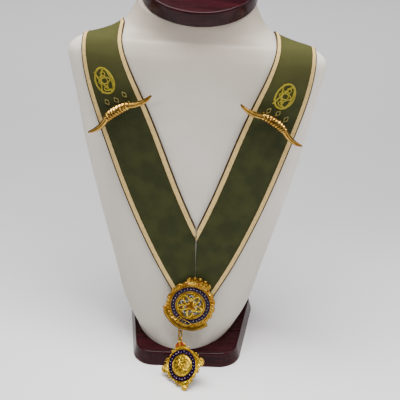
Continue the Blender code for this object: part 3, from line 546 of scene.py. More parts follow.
class Solid:
    """Points and faces of one piece, with a mark for each point."""

    def __init__(self):
        self.points = []
        self.faces = []
        self.marks = []

    def rings(self, rings, loop=False, wrap=True, caps=True, mark=0.0):
        """Skin rings of points; mark is a number, a list, or a function of the point."""
        start = len(self.points)
        count = len(rings[0])
        last = start + (len(rings) - 1) * count
        points = [point for ring in rings for point in ring]
        self.points += [Vector(point) for point in points]
        if isinstance(mark, list):
            self.marks += mark
        else:
            self.marks += [mark(point) if callable(mark) else mark for point in points]
        pairs = [(a, a + count) for a in range(start, last, count)] + [(last, start)] * loop
        for a, b in pairs:
            for i in range(count if wrap else count - 1):
                j = (i + 1) % count
                self.faces.append((a + i, a + j, b + j, b + i))
        if caps and not loop and wrap:
            self.faces.append(tuple(reversed(range(start, start + count))))
            self.faces.append(tuple(range(last, last + count)))

    def lathe(self, profile, sides):
        """Turned ring with a closed profile of (radius, height) points."""
        self.rings([[(*around(r, angle), h) for r, h in profile] for angle in turns(sides)],
                   loop=True)

    def disc(self, profile, sides, mark=0.0):
        """Turned profile of (radius, height) points; both ends are closed with a flat face."""
        self.rings([circle(r, sides, h) for r, h in profile], mark=mark)

    def blob(self, centre, radii, turn=0.0, sides=12, rows=8, mark=0.0):
        cosine, sine = cos(turn), sin(turn)
        rings = []
        for share in shares(rows):
            polar = pi * min(max(share, 0.04), 0.96)
            ring = []
            for angle in turns(sides):
                x = radii[0] * sin(polar) * cos(angle)
                y = radii[1] * sin(polar) * sin(angle)
                ring.append((centre[0] + x * cosine - y * sine,
                             centre[1] + x * sine + y * cosine,
                             centre[2] - radii[2] * cos(polar)))
            rings.append(ring)
        self.rings(rings, mark=mark)

    def tube(self, points, radii, sides=10, closed=False, flat=1.0, shape=None, mark=0.0):
        """Sweep a section along points; shape(k, angle) scales the radius."""
        rings = []
        if isinstance(radii, float):
            radii = [radii] * len(points)
        for k, (behind, point, ahead) in enumerate(neighbours(points, closed)):
            radius = radii[k]
            along = (Vector(ahead) - Vector(behind)).normalized()
            side = along.cross(Vector((0, 0, 1))).normalized()
            rise = side.cross(along)
            ring = []
            for angle in turns(sides):
                scale = shape(k, angle) if shape else 1.0
                ring.append(Vector(point) + side * radius * scale * cos(angle)
                            + rise * radius * scale * flat * sin(angle))
            rings.append(ring)
        self.rings(rings, loop=closed, mark=mark)

    def prism(self, outline, low, high, bevel, mark=0.0):
        """A flat outline with a chamfered front edge."""
        middle = [sum(p[k] for p in outline) / len(outline) for k in (0, 1)]
        drawn = []
        for x, y in outline:
            reach = hypot(x - middle[0], y - middle[1])
            share = 1 - bevel / max(reach, bevel * 2)
            drawn.append((middle[0] + (x - middle[0]) * share,
                          middle[1] + (y - middle[1]) * share, high))
        self.rings([[(x, y, low) for x, y in outline],
                    [(x, y, high - bevel) for x, y in outline], drawn], mark=mark)

    def make(self, name, look, matrix=Matrix(), node=None, scale=MM, sharp=35.0):
        """Turn the points into a piece."""
        mesh = bpy.data.meshes.new(name)
        mesh.from_pydata([p * scale for p in self.points], [], self.faces)
        bm = bmesh.new()
        bm.from_mesh(mesh)
        bmesh.ops.recalc_face_normals(bm, faces=bm.faces)
        bm.to_mesh(mesh)
        bm.free()
        set_marks(mesh, self.marks)
        mesh.shade_smooth()
        mesh.set_sharp_from_angle(angle=radians(sharp))
        return piece(name, mesh, look, matrix, node)


# The bust and what it is made from

TILT = (Matrix.Translation((FORM_SHIFT, 0, BASE_HEIGHT))
        @ Matrix.Rotation(FORM_LEAN, 4, "Y"))


def form_point(height, angle):
    share, width, front, middle, back, bow, wing, aside = smooth_row(
        FORM_SECTIONS, height * (len(FORM_SECTIONS) - 1))
    half = width * SHOULDER_WIDTH / 2
    cosine = cos(angle)
    sine = sin(angle)
    if sine <= 0:
        x = half * copysign(abs(cosine) ** (2 / bow), cosine)
        depth = middle - (middle - front) * abs(sine) ** (2 / bow)
    else:
        x = half * cosine
        depth = middle + (back - middle) * max(1 - cosine * cosine, 0.0) ** wing
    return Vector((x + aside * SHOULDER_WIDTH, FORM_FRONT_Y + depth * FORM_DEPTH,
                   share * FORM_HEIGHT))


def bust_rings():
    rings = []
    for share in shares((len(FORM_SECTIONS) - 1) * FORM_STEPS):
        ring = [form_point(share, angle) for angle in turns(FORM_SIDES)]
        for point in ring:
            foot = point.x * tan(FORM_LEAN) + CLEAR
            top = CAP_RISE - CLEAR + (point.y - CAP_CENTRE_Y) * tan(CAP_TILT)
            if share == 0:
                point.z = foot
            elif share == 1:
                point.z = top
            else:
                point.z = min(max(point.z, foot), top)
        rings.append(ring)
    return rings


def make_bust():
    rings = bust_rings()
    for point in (point for ring in rings for point in ring):
        sway = noise.noise(point * 28.0) * 0.25 + noise.noise(point * 75.0) * 0.10
        point.x *= 1 + sway * 0.004
        point.y += sway * 0.35 * MM
    solid = Solid()
    solid.rings(rings, mark=lambda p: 1 - ease(p[2], 2 * MM, 26 * MM))
    return solid.make("bust", "cream_leatherette", TILT, "bust_form", scale=1.0, sharp=50.0)


def surface_of(obj):
    bm = bmesh.new()
    bm.from_mesh(obj.data)
    tree = BVHTree.FromBMesh(bm)
    bm.free()
    return tree


def rounded_outline(corners, radius, steps=12):
    points = []
    for k, (x, y) in enumerate(corners):
        corner = Vector((x, y))
        back = (Vector(corners[k - 1]) - corner).normalized()
        ahead = (Vector(corners[(k + 1) % len(corners)]) - corner).normalized()
        half_angle = back.angle(ahead) / 2
        reach = radius / tan(half_angle)
        centre = corner + (back + ahead).normalized() * radius / sin(half_angle)
        start = corner + back * reach - centre
        end = corner + ahead * reach - centre
        for step in range(steps + 1):
            points.append(tuple(centre + start.lerp(end, step / steps).normalized() * radius))
    return points


def make_base():
    slope = BASE_SIDE_SLOPE * 0.9
    wall_top = BASE_HEIGHT - BASE_EDGE_RADIUS
    levels = [(0.0, 0.35 * MM), (0.35 * MM, 0.0)]
    levels += [(wall_top * k / 5, slope * k / 5) for k in range(1, 6)]
    for k in range(1, 7):
        turn = pi / 2 * k / 6
        levels.append((wall_top + BASE_EDGE_RADIUS * sin(turn),
                       slope + (BASE_EDGE_RADIUS + BASE_SIDE_SLOPE * 0.1) * (1 - cos(turn))))
    rings = []
    for height, inset in levels:
        half = BASE_FRONT_WIDTH / 2 - inset
        back_half = BASE_BACK_WIDTH / 2 - inset
        front = BASE_FRONT_Y + inset
        back = BASE_FRONT_Y + BASE_DEPTH - inset
        corners = ((-half, front), (half, front), (back_half, back), (-back_half, back))
        outline = rounded_outline(corners, BASE_CORNER_RADIUS - inset * 0.5)
        rings.append([(x, y, height) for x, y in outline])

    def wear(point):
        foot = 1 - ease(point[2], 0.0, 2.5 * MM)
        return foot * ease(abs(point[0]), 38 * MM, 46 * MM) * 0.9
    solid = Solid()
    solid.rings(rings, mark=wear)
    solid.make("base", "polished_dark_wood", node="base_block", scale=1.0)


def make_cap():
    levels = [(0.5 * MM, 0.0), (0.0, 0.5 * MM), (0.0, CAP_HEIGHT * 0.5)]
    for k in range(7):
        turn = pi / 2 * k / 6
        levels.append((CAP_EDGE_RADIUS * (1 - cos(turn)),
                       CAP_HEIGHT - CAP_EDGE_RADIUS + CAP_EDGE_RADIUS * sin(turn)))
    solid = Solid()
    solid.rings([[(x, y, height) for x, y in oval(CAP_WIDTH / 2 - inset, CAP_DEPTH / 2 - inset,
                                                  CAP_SIDES)] for inset, height in levels])
    matrix = (TILT @ Matrix.Translation((CAP_SHIFT, CAP_CENTRE_Y, CAP_RISE))
              @ Matrix.Rotation(CAP_TILT, 4, "X"))
    solid.make("cap", "polished_dark_wood", matrix, "neck_cap", scale=1.0)


# The ribbon

def collar_middle(z):
    """Where the collar's middle plane stands across the bust at a height above the base."""
    return COLLAR_SHIFT - z * tan(COLLAR_SWING)


def collar_point(side, position):
    across, depth, height, width = smooth_row(COLLAR_ROUTE, position * (len(COLLAR_ROUTE) - 1))
    z = height * FORM_HEIGHT
    point = Vector((collar_middle(z) + side * across * SHOULDER_WIDTH / 2,
                    FORM_FRONT_Y + depth * FORM_DEPTH, z))
    return point, width * RIBBON_WIDTH


def collar_rows():
    """Places along the route, closer together over the shoulder."""
    last = len(COLLAR_ROUTE) - 1
    positions = []
    for row in range(last):
        steps = 7 if RIDGE_ROWS[0] <= row < RIDGE_ROWS[1] else 3
        positions += [(row + k / steps) / last for k in range(steps)]
    return positions + [1.0]


def blurred(vectors):
    for _ in range(RIBBON_BLUR):
        vectors = [(a + 2 * b + c).normalized() for a, b, c in neighbours(vectors)]
    return vectors


def bracket(values, value):
    """The step of a rising list that holds a value, and how far along it the value is."""
    k = min(bisect_left(values, value, 1), len(values) - 1) - 1
    return k, (value - values[k]) / (values[k + 1] - values[k])


class Ribbon:
    """One laid ribbon half: a fine grid of places, their normals, and its cloth measures."""

    def __init__(self, side, surface):
        coarse, facing = self.lay(side, surface)
        self.places = []
        self.outs = []
        for k in range((len(coarse) - 1) * RIBBON_FINE_ROWS + 1):
            position = k / RIBBON_FINE_ROWS
            columns = [smooth_row([row[c] for row in coarse], position)
                       for c in range(RIBBON_COLUMNS + 1)]
            row = []
            for u in RIBBON_LINES:
                spread = (u * MM / RIBBON_WIDTH + 0.5) * RIBBON_COLUMNS
                place = Vector(smooth_row(columns, spread))
                near, normal, _, _ = surface.find_nearest(place)
                row.append(place + normal * max(RIBBON_LIFT - (place - near).dot(normal), 0.0))
            self.places.append(row)
            self.outs.append(Vector(smooth_row(facing, position)).normalized())
        self.middles = [row[len(RIBBON_LINES) // 2] for row in self.places]
        self.lengths = [0.0]
        for a, b in zip(self.middles, self.middles[1:]):
            self.lengths.append(self.lengths[-1] + (b - a).length)

    @staticmethod
    def lay(side, surface):
        route = [collar_point(side, k) for k in collar_rows()]
        nearest = [surface.find_nearest(point) for point, _ in route]
        spots = [hit[0] for hit in nearest]
        facing = blurred([hit[1] for hit in nearest])
        along = blurred([(after - before).normalized() for before, _, after in neighbours(spots)])
        grid = []
        for k, spot in enumerate(spots):
            across = facing[k].cross(along[k]).normalized()
            row = []
            for c in range(RIBBON_COLUMNS + 1):
                flat = spot + across * (c / RIBBON_COLUMNS - 0.5) * route[k][1]
                laid = surface.find_nearest(flat)[0]
                row.append(laid.lerp(flat, RIBBON_SLACK) + facing[k] * RIBBON_LIFT)
            grid.append(row)
        for _ in range(RIBBON_BLUR):
            grid = [[(a + 2 * b + c) / 4 for a, b, c in zip(*rows)] for rows in neighbours(grid)]
        return grid, facing

    def at(self, u, v, lift):
        """Place on the ribbon's upper face: u mm across, v metres along, lift mm off it."""
        k, t = bracket(self.lengths, v)
        c, s = bracket(RIBBON_LINES, u)
        low = self.places[k][c].lerp(self.places[k][c + 1], s)
        high = self.places[k + 1][c].lerp(self.places[k + 1][c + 1], s)
        out = self.outs[k].lerp(self.outs[k + 1], t).normalized()
        return low.lerp(high, t) + out * (RIBBON_THICKNESS + lift * MM)

    def spot(self, x, z):
        """Cloth measures (u mm, v metres) of the front at x mm across and z mm up the bust."""
        _, k, c = min((hypot(place.x - x * MM, place.z - z * MM), k, c)
                      for k, row in enumerate(self.places) for c, place in enumerate(row)
                      if place.y < 20 * MM)
        return RIBBON_LINES[c], self.lengths[k]

    def upper(self):
        """The upper face, for a ray to meet."""
        sheet = Solid()
        sheet.rings([[place + out * (RIBBON_THICKNESS + 0.1 * MM) for place in row]
                     for row, out in zip(self.places, self.outs)], wrap=False)
        return BVHTree.FromPolygons(sheet.points, sheet.faces)


def make_ribbon(name, node, side, ribbon):
    """The ribbon half as a sheet with cloth coordinates, mitred at both points of the V."""
    points = []
    marks = []
    cloth = []
    for row, out, v in zip(ribbon.places, ribbon.outs, ribbon.lengths):
        for u, place in zip(RIBBON_LINES, row):
            sway = noise.noise(Vector((u * 0.09, v * 55.0, side * 3.0))) * 0.22
            sway += noise.noise(Vector((u * 0.3, v * 160.0, side * 7.0))) * 0.07
            braid = 0.16 if STRIPE_IN < abs(u) < STRIPE_OUT else 0.0
            lift = braid + max(sway, -0.15) * (0.4 + 0.6 * abs(u) / 25.0)
            points.append(place + out * lift * MM)
            cloth.append((u * MM, v))
            # marks the ribbon paler high up on the shoulders, less so on the back
            paler_up_high = ease(place.z / FORM_HEIGHT, 0.72, 0.90)
            marks.append(paler_up_high * (1 if place.y < 30 * MM else 0.6))
    wide = len(RIBBON_LINES)
    faces = [(a, a + 1, a + wide + 1, a + wide) for a in range(len(points) - wide)
             if (a + 1) % wide]
    mesh = bpy.data.meshes.new(name)
    mesh.from_pydata(points, [], faces)
    mesh.uv_layers.new(name="cloth")
    for loop, corner in zip(mesh.loops, mesh.uv_layers["cloth"].data):
        corner.uv = cloth[loop.vertex_index]
    set_marks(mesh, marks)
    bm = bmesh.new()
    bm.from_mesh(mesh)
    bm.faces.ensure_lookup_table()
    if bm.faces[0].normal.dot(ribbon.outs[0]) < 0:
        bmesh.ops.reverse_faces(bm, faces=bm.faces)
    edge = Vector((COLLAR_SHIFT + side * SEAM_GAP / 2, 0, 0))
    away = Vector((cos(COLLAR_SWING), 0, sin(COLLAR_SWING))) * -side
    bmesh.ops.bisect_plane(bm, geom=bm.verts[:] + bm.edges[:] + bm.faces[:], plane_co=edge,
                           plane_no=away, clear_outer=True)
    for vert in bm.verts:
        if abs((vert.co - edge).dot(away)) < 0.01 * MM and vert.co.y < 0:
            vert.co.x += side * SEAM_OPEN * ease(vert.co.z, *SEAM_OPENS)
    area = sum(face.calc_area() for face in bm.faces)
    bm.to_mesh(mesh)
    bm.free()
    mesh.shade_smooth()
    obj = piece(name, mesh, "green_ribbon", TILT, node)
    thick = obj.modifiers.new("thickness", "SOLIDIFY")
    thick.thickness = RIBBON_THICKNESS
    thick.offset = 1.0
    kept = [v for v, place in zip(ribbon.lengths, ribbon.middles)
            if (place.x - collar_middle(place.z)) * side > -RIBBON_WIDTH / 2]
    length = max(kept) - min(kept)
    min(area, RIBBON_WIDTH * length)


# Embroidery

def stitch(solid, ribbon, centre, turn, path, width, closed=True, thread=0.19):
    """Satin stitches across a path of (a, b) millimetres in a frame turned on the ribbon."""
    cosine, sine = cos(turn), sin(turn)
    count = len(path)
    travelled = 0.0
    due = 0.0
    for k in range(count if closed else count - 1):
        start = Vector(path[k])
        end = Vector(path[(k + 1) % count])
        step = (end - start).length
        if step == 0:
            continue
        heading = (end - start) / step
        over = Vector((-heading.y, heading.x)) + heading * STITCH_SLANT
        while due <= travelled + step:
            spot = start + heading * (due - travelled)
            points = []
            for s in (-1.0, -0.5, 0.0, 0.5, 1.0):
                a, b = spot + over * s * width / 2
                u = centre[0] + a * cosine - b * sine
                v = centre[1] + (a * sine + b * cosine) * MM
                arch = 0.10 + 0.42 * sqrt(max(1 - s * s * 0.98, 0.0))
                points.append(ribbon.at(u, v, arch) / MM)
            solid.tube(points, [thread * 0.8, thread, thread, thread, thread * 0.8], sides=5,
                       mark=0.0 if int(due / STITCH_SPACING) % 3 else 0.5)
            due += STITCH_SPACING
        travelled += step


def make_embroidery(name, ribbon, side):
    """Tall roundel of interlaced scrolls, with three small lozenges below it."""
    centre = ribbon.spot(*EMBLEMS[side])
    turn = side * radians(7.0)
    weave = [(7.3 * sin(2 * t + 0.5), 10.0 * sin(3 * t)) for t in turns(240)]
    roundel = Solid()
    for path, width in ((oval(9.3, 11.7, 96), 1.7), (weave, 1.25), (oval(3.1, 4.8, 60), 1.1),
                        (oval(6.2, 2.7, 60), 1.0)):
        stitch(roundel, ribbon, centre, turn, path, width)
    for end in (-1, 1):
        curl = [(end * (1.0 + 4.0 * t) * cos(5.5 * t), end * 6.6 + (0.8 + 2.1 * t) * sin(5.5 * t))
                for t in shares(40)]
        stitch(roundel, ribbon, centre, turn, curl, 1.0, closed=False)
    roundel.make(name + "_roundel", "gold_thread", TILT)
    small = Solid()
    for x, z in LOZENGES[side]:
        lozenge = [(0.0, 3.0), (2.0, 0.0), (0.0, -3.0), (-2.0, 0.0)]
        stitch(small, ribbon, ribbon.spot(x, z), side * radians(24.0), lozenge, 0.8, thread=0.17)
    small.make(name + "_lozenges", "dull_gold_thread", TILT)


# Horn pins

def make_horn_pin(name, node, side, cloth):
    aside, height, lean = PIN_PLACES[side]
    heart = Vector((collar_middle(height) + side * aside, FORM_FRONT_Y - 0.3 * FORM_DEPTH,
                    height))
    spot, normal, _, _ = cloth.ray_cast(heart, Vector((0, 1, 0)))
    if normal.y > 0:
        normal = -normal
    right = normal.cross(Vector((0, 0, -1))).normalized()
    across = Matrix.Rotation(-side * lean, 3, normal) @ right
    start = spot + normal * PIN_THICKNESS * MM
    hits = [cloth.ray_cast(start + across * end * FOOT_REACH * MM, -normal)[0]
            for end in (-1, 1)]
    across = (hits[1] - hits[0]).normalized()
    normal = (normal - across * normal.dot(across)).normalized()
    rise = normal.cross(across)
    middle = (hits[0] + hits[1]) / 2 - rise * PIN_RISE * 0.35 * MM
    lift = PIN_THICKNESS * 0.72
    stations = [(-row[0], *row[1:]) for row in reversed(HORN_PROFILE[1:])] + list(HORN_PROFILE)
    rows = [smooth_row(stations, share * (len(stations) - 1)) for share in shares(PIN_STEPS)]

    def section(k, angle):
        """Bound with cord in the middle, grooved along the horns."""
        share = abs(rows[k][0])
        bound = 1 - ease(share, PIN_BOUND - 0.03, PIN_BOUND + 0.03)
        wound = rows[k][0] / PIN_BOUND * pi * PIN_WRAPS + 1.1 * sin(angle)
        wrap = 0.13 * cos(wound) + 0.045 * cos(2 * wound + 3 * angle)
        front = (angle - pi / 2 + pi) % tau - pi
        groove = 0.26 * exp(-((front - 0.15) / 0.24) ** 2)
        ridge = 0.05 * cos(2 * front)
        return 1 + bound * wrap - (1 - bound) * (groove - ridge) * (1 - ease(share, 0.9, 1.0))

    marks = [max(min(1.0, max(0.0, (1 - section(k, angle)) * 6.0)) * 0.9,
                 ease(abs(row[0]), 0.93, 0.99) * 0.85)
             for k, row in enumerate(rows) for angle in turns(PIN_SIDES)]
    solid = Solid()
    solid.tube([(share * PIN_SPAN / 2, (arch - 0.5) * PIN_RISE, 0.0) for share, arch, _ in rows],
               [max(girth, 0.1) * PIN_THICKNESS / 2 for _, _, girth in rows], PIN_SIDES,
               flat=0.82, shape=section, mark=marks)
    for end in (-1, 1):
        foot = (end * FOOT_REACH, PIN_RISE * 0.35)
        solid.rings([circle(r * FOOT_RADIUS, 14, h, foot) for h, r in (
            (-lift + 0.05, 1.15), (-lift + 0.35, 1.0), (-lift + 1.4, 0.8), (0.0, 0.9))], mark=0.6)
    matrix = Matrix((across, rise, normal)).transposed().to_4x4()
    solid.make(name, "pin_gilt", TILT @ Matrix.Translation(middle + normal * lift * MM) @ matrix,
               node)


# Jewels, in millimetres in their own frames

def place_of(node, turn, low):
    """Place of a jewel, read from its enamel ring's solid and its known turn."""
    inverse = turn.inverted()
    points = [inverse @ vertex.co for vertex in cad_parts[node].data.vertices]
    box = [(min(p[k] for p in points), max(p[k] for p in points)) for k in range(3)]
    local = Vector((sum(box[0]) / 2, sum(box[1]) / 2, box[2][0] - low * MM))
    return Matrix.Translation(turn @ local) @ turn


def leaf_border(solid, inner, outline, leaves, low, high, slant):
    """A carved border: overlapping slanted leaves from the inner radius to the outline."""
    def height(t, phase):
        crest = abs(sin(pi * phase)) ** 0.7
        vein = 0.12 * cos(6 * pi * phase)
        return (sin(pi * min(t * 0.88 + 0.1, 1.0)) ** 0.6) * (0.35 + 0.65 * crest + vein)
    rings = []
    marks = [0.0] * (2 * BORDER_STEPS)
    for t in shares(BORDER_BANDS):
        ring = []
        for angle in turns(BORDER_STEPS):
            radius = inner + (outline(angle) - inner) * t
            z = low + (high - low) * height(t, angle * leaves / tau + slant * t)
            ring.append((*around(radius, angle), z))
            marks.append(max(0.0, 1 - (z - low) / (high - low) * 1.6) * 0.95)
        rings.append(ring)

    def shrunk(ring, scale, z):
        return [(x * scale, y * scale, z) for x, y, _ in ring]
    rim = rings[-1]
    back = shrunk(rim, 0.975, 0.0)
    marks += [0.6] * (2 * BORDER_STEPS)
    solid.rings([shrunk(rings[0], 0.5, 0.0), shrunk(rings[0], 1.0, 0.15), *rings,
                 shrunk(rim, 0.995, low * 0.35), back], caps=False, mark=marks)
    solid.rings([back, shrunk(back, 0.05, 0.0)], mark=0.5)


def ring_plate(solid, inner, outer, rim, plate, relief, sides):
    """The plate under an enamel ring, with a rim on both sides of the enamel."""
    edge = outer + rim
    for low, high in ((inner - rim, inner), (outer, edge)):
        solid.lathe([(low, plate * 0.5), (high, plate * 0.5), (high, relief * 0.86),
                     (high - rim * 0.2, relief * 0.97), ((low + high) / 2, relief),
                     (low + rim * 0.2, relief * 0.97), (low, relief * 0.86)], RING_SIDES)
    solid.disc(((0.05, 0.0), (edge, 0.0), (edge, plate), (0.05, plate)), sides, mark=0.6)


def make_enamel_ring(name, node, matrix, inner, outer, low, count, rise, gap=(0.0, 0.0)):
    """An enamel ring, and the small pellets and bars set in it."""
    high = low + ENAMEL_THICKNESS
    near = inner + 0.02
    far = outer - 0.02
    profile = [(near, low), (far, low), (far, high)]
    for share in shares(6)[1:-1]:
        profile.append((far + (near - far) * share, high + 0.15 * sin(pi * share)))
    ring = Solid()
    ring.lathe(profile + [(near, high)], RING_SIDES)
    ring.make(name, "navy_enamel", matrix, node)
    dots = Solid()
    for k in range(count):
        angle = tau * k / count + 0.05
        if not gap[0] < angle % tau < gap[1]:
            reach = (inner + outer) / 2 + (0.35 if k % 2 else -0.30)
            dots.blob((*around(reach, angle), high + rise), (0.62 if k % 3 else 0.34, 0.30, 0.20),
                      angle + (0.5 if k % 2 else -0.35), 8, 5)
    dots.make(name + "_marks", "pinkish_gilt", matrix)


def knot_points(radius, loops, core, swing, phase, height, steps=160):
    points = []
    for t in turns(steps, 0.5):
        reach = radius * (core + swing * cos(loops * t + phase))
        points.append((*around(reach, t), height + 0.22 * sin(2 * loops * t)))
    return points


def make_breast_jewel():
    turn = (TILT.to_3x3().to_4x4() @ Matrix.Rotation(pi / 2 - JEWEL_LEAN, 4, "X")
            @ Matrix.Rotation(JEWEL_TURN, 4, "Z"))
    low = JEWEL_PLATE + ENAMEL_SEAT
    matrix = place_of("breast_jewel_enamel", turn, low)
    body = Solid()

    def outline(angle):
        return JEWEL_BORDER + 1.35 * abs(sin(9.5 * angle + 0.35)) ** 0.8
    leaf_border(body, JEWEL_RING_OUTER + JEWEL_RIM - 0.2, outline, 38, 0.75, 2.65, 0.9)
    ring_plate(body, JEWEL_RING_INNER, JEWEL_RING_OUTER, JEWEL_RIM, JEWEL_PLATE, JEWEL_RELIEF, 96)
    add_crest(body)
    add_banner(body)
    lug = (0.0, -BANNER_RADIUS - BANNER_WIDTH / 2 - LUG_RADIUS * 0.75, 1.0)
    body.tube(circle(LUG_RADIUS, 40, lug[2], lug[:2]), LUG_WIRE, 12, closed=True)
    body.make("breast_jewel", "gilt", matrix, "breast_jewel_frame")
    make_enamel_ring("breast_ring", "breast_jewel_enamel", matrix, JEWEL_RING_INNER,
                     JEWEL_RING_OUTER, low, 34, 0.17, gap=(4.45, 5.10))
    make_strap(matrix, low + ENAMEL_THICKNESS)
    make_knot_disc(matrix, low)
    drops = Solid()
    for side in (-1, 1):
        drops.blob((side * 10.4, 18.6, 2.5), (1.25, 0.95, 0.8), side * -0.5, 14, 8)
    drops.blob((0.0, 21.9, 2.9), (0.8, 0.6, 0.5), 0.0, 12, 8)
    drops.make("breast_crest_drops", "red_enamel", matrix)
    return matrix @ (Vector(lug) * MM)


def make_strap(matrix, top):
    """Strap end with its trim and buckle at the ring's foot."""
    tongue = []
    for share in shares(12):
        angle = radians(252 + 38 * share)
        half = 1.75 * (1 - ease(share, 0.82, 1.0) * 0.8)
        tongue.append((16.4 + 1.7 * share, half, angle))
    loop = [around(m + h, a) for m, h, a in tongue]
    loop += [around(m - h, a) for m, h, a in reversed(tongue)]
    strap = Solid()
    strap.prism(loop, top - 0.2, top + 0.75, 0.2)
    strap.make("breast_strap", "navy_enamel", matrix)
    trim = Solid()
    trim.tube([(x, y, top + 0.62) for x, y in loop], 0.24, 6, closed=True)
    for share in (0.35, 0.6):
        m, h, a = tongue[round(share * 12)]
        trim.blob((*around(m, a), top + 0.8), (0.35, 0.35, 0.25), 0.0, 8, 5)
    buckle = [(*around(16.1 + 2.35 * sin(t), radians(250) + 0.085 * cos(t)), top + 0.55)
              for t in turns(28)]
    trim.tube(buckle, 0.38, 8, closed=True)
    trim.make("breast_strap_trim", "bright_gilt", matrix)


def add_crest(body):
    """Low open crown: a solid back, a broad band, five fat leaves and a row of pearls."""
    half = CREST_WIDTH / 2
    tall = CREST_TOP - CREST_FOOT

    def brim(x):
        return CREST_FOOT + 0.1 - 1.3 * (x / half) ** 2
    back = [(-half * 0.94, CREST_FOOT - 1.0), (half * 0.94, CREST_FOOT - 1.0)]
    for x in ((1 - 2 * share) * half for share in shares(40)):
        rise = 0.80 - 0.36 * (x / half) ** 2 + 0.10 * abs(cos(2.5 * pi * x / half))
        back.append((x, CREST_FOOT + tall * rise))
    body.prism(back, 0.3, 1.6, 0.3, mark=0.85)
    for across, up, lean, size in ((-0.84, 0.60, 0.50, 0.95), (-0.43, 0.84, 0.25, 1.05),
                                   (0.0, 0.92, 0.0, 1.15), (0.43, 0.84, -0.25, 1.05),
                                   (0.84, 0.60, -0.50, 0.95)):
        x = across * half
        height = tall * up
        for way in (-1, 0, 1):
            centre = (x * 0.92 + way * 1.25 * size,
                      CREST_FOOT + height * (0.52 - 0.10 * abs(way)), 1.75)
            body.blob(centre, (0.78 * size, height * 0.36, 1.05 - 0.2 * abs(way)),
                      lean - way * 0.35)
        body.blob((x, CREST_FOOT + height - 0.5, 1.9), (1.25 * size, 1.05 * size, 1.0), lean, 14)
    band = [(x, brim(x), 1.9) for x in ((k / 8 - 1) * half * 0.97 for k in range(17))]
    body.tube(band, 1.15, 14, flat=0.8)
    for x in ((k - 5) * half * 0.185 for k in range(11)):
        body.blob((x, brim(x), 2.85), (0.55, 0.55, 0.35), 0.0, 10, 6)
    body.tube([(x * 0.95, y + 2.0, 2.05) for x, y, _ in band], 0.55)


def add_banner(body):
    """Broad scroll round the lower half, rolled at its left end and flared at its right."""
    start, end = BANNER_ENDS

    def course(share):
        roll = 0.30 * sin(pi * 3 * share) + 0.45 * (abs(share - 0.5) * 2) ** 4
        return start + (end - start) * share, roll
    rings = []
    for share in shares(BANNER_STEPS):
        angle, roll = course(share)
        half = BANNER_WIDTH / 2 * (1 - 0.45 * (1 - ease(share, 0.0, 0.07))
                                   + 0.10 * ease(share, 0.9, 1.0))
        wave = 0.18 * sin(18 * share)
        rings.append([(*around(BANNER_RADIUS + across * half + wave, angle),
                       height + (roll if height > 0.3 else 0.0))
                      for across, height, _ in BANNER_PROFILE])
    body.rings(rings, mark=[mark for _, _, mark in BANNER_PROFILE] * (BANNER_STEPS + 1))
    for k in range(26):
        angle, roll = course((k + 1.0) / 27)
        body.blob((*around(BANNER_RADIUS - BANNER_WIDTH * 0.31, angle), 1.75 + roll),
                  (0.50, 0.50, 0.38), angle, 8, 6)
    x, y = around(BANNER_RADIUS, start)
    body.blob((x, y, 1.7), (2.5, 2.1, 1.35), start, 16, 10)
    body.blob((x * 0.985, y * 0.985, 2.7), (0.9, 0.9, 0.7), start, mark=0.4)
    body.blob((*around(BANNER_RADIUS, end), 2.0), (2.75, 0.8, 1.2), end, 16, 10)


def make_knot_disc(matrix, low):
    """Gilt field with an interlaced knot of gilt and coloured enamel cords."""
    radius = JEWEL_RING_INNER - JEWEL_RIM - 0.05
    rings = [circle(radius, RING_SIDES, low)]
    marks = [0.5] * RING_SIDES
    for band in range(16):
        r = radius * (1 - band / 15) if band < 15 else 0.05
        dome = 0.9 + 0.10 * cos(band * 1.7)
        rings.append([(*around(r, angle), low + dome + 0.05 * cos(30 * angle) * (r / radius))
                      for angle in turns(RING_SIDES)])
        marks += [0.80 if band % 2 else 0.60] * RING_SIDES
    field = Solid()
    field.rings(rings, mark=marks)
    field.make("breast_centre", "gilt", matrix, "breast_jewel_centre")
    height = low + 1.15
    gold = Solid()
    gold.tube(knot_points(radius, 5, 0.60, 0.27, 0.4, height), 0.80, closed=True, flat=0.65)
    gold.tube(knot_points(radius, 3, 0.34, 0.17, 1.3, height + 0.2, 100), 0.72, 8, closed=True,
              flat=0.65)
    gold.tube(circle(radius * 0.93, 90, height), 0.42, 8, closed=True)
    for angle in turns(10, 0.5):
        gold.blob((*around(radius * 0.80, angle), height), (0.55, 0.55, 0.45), 0.0, 10, 6)
    gold.make("breast_knot", "bright_gilt", matrix)
    for word, look, girth, cord in (("grey", "grey_green_enamel", 0.62, (5, 0.60, 0.26, 2.05)),
                                    ("white", "white_enamel", 0.34, (5, 0.53, 0.20, 3.55)),
                                    ("red", "red_enamel", 0.44, (4, 0.27, 0.13, 0.2))):
        solid = Solid()
        solid.tube(knot_points(radius, *cord, height - 0.04), girth, 8, closed=True, flat=0.6)
        solid.make("breast_knot_" + word, look, matrix)


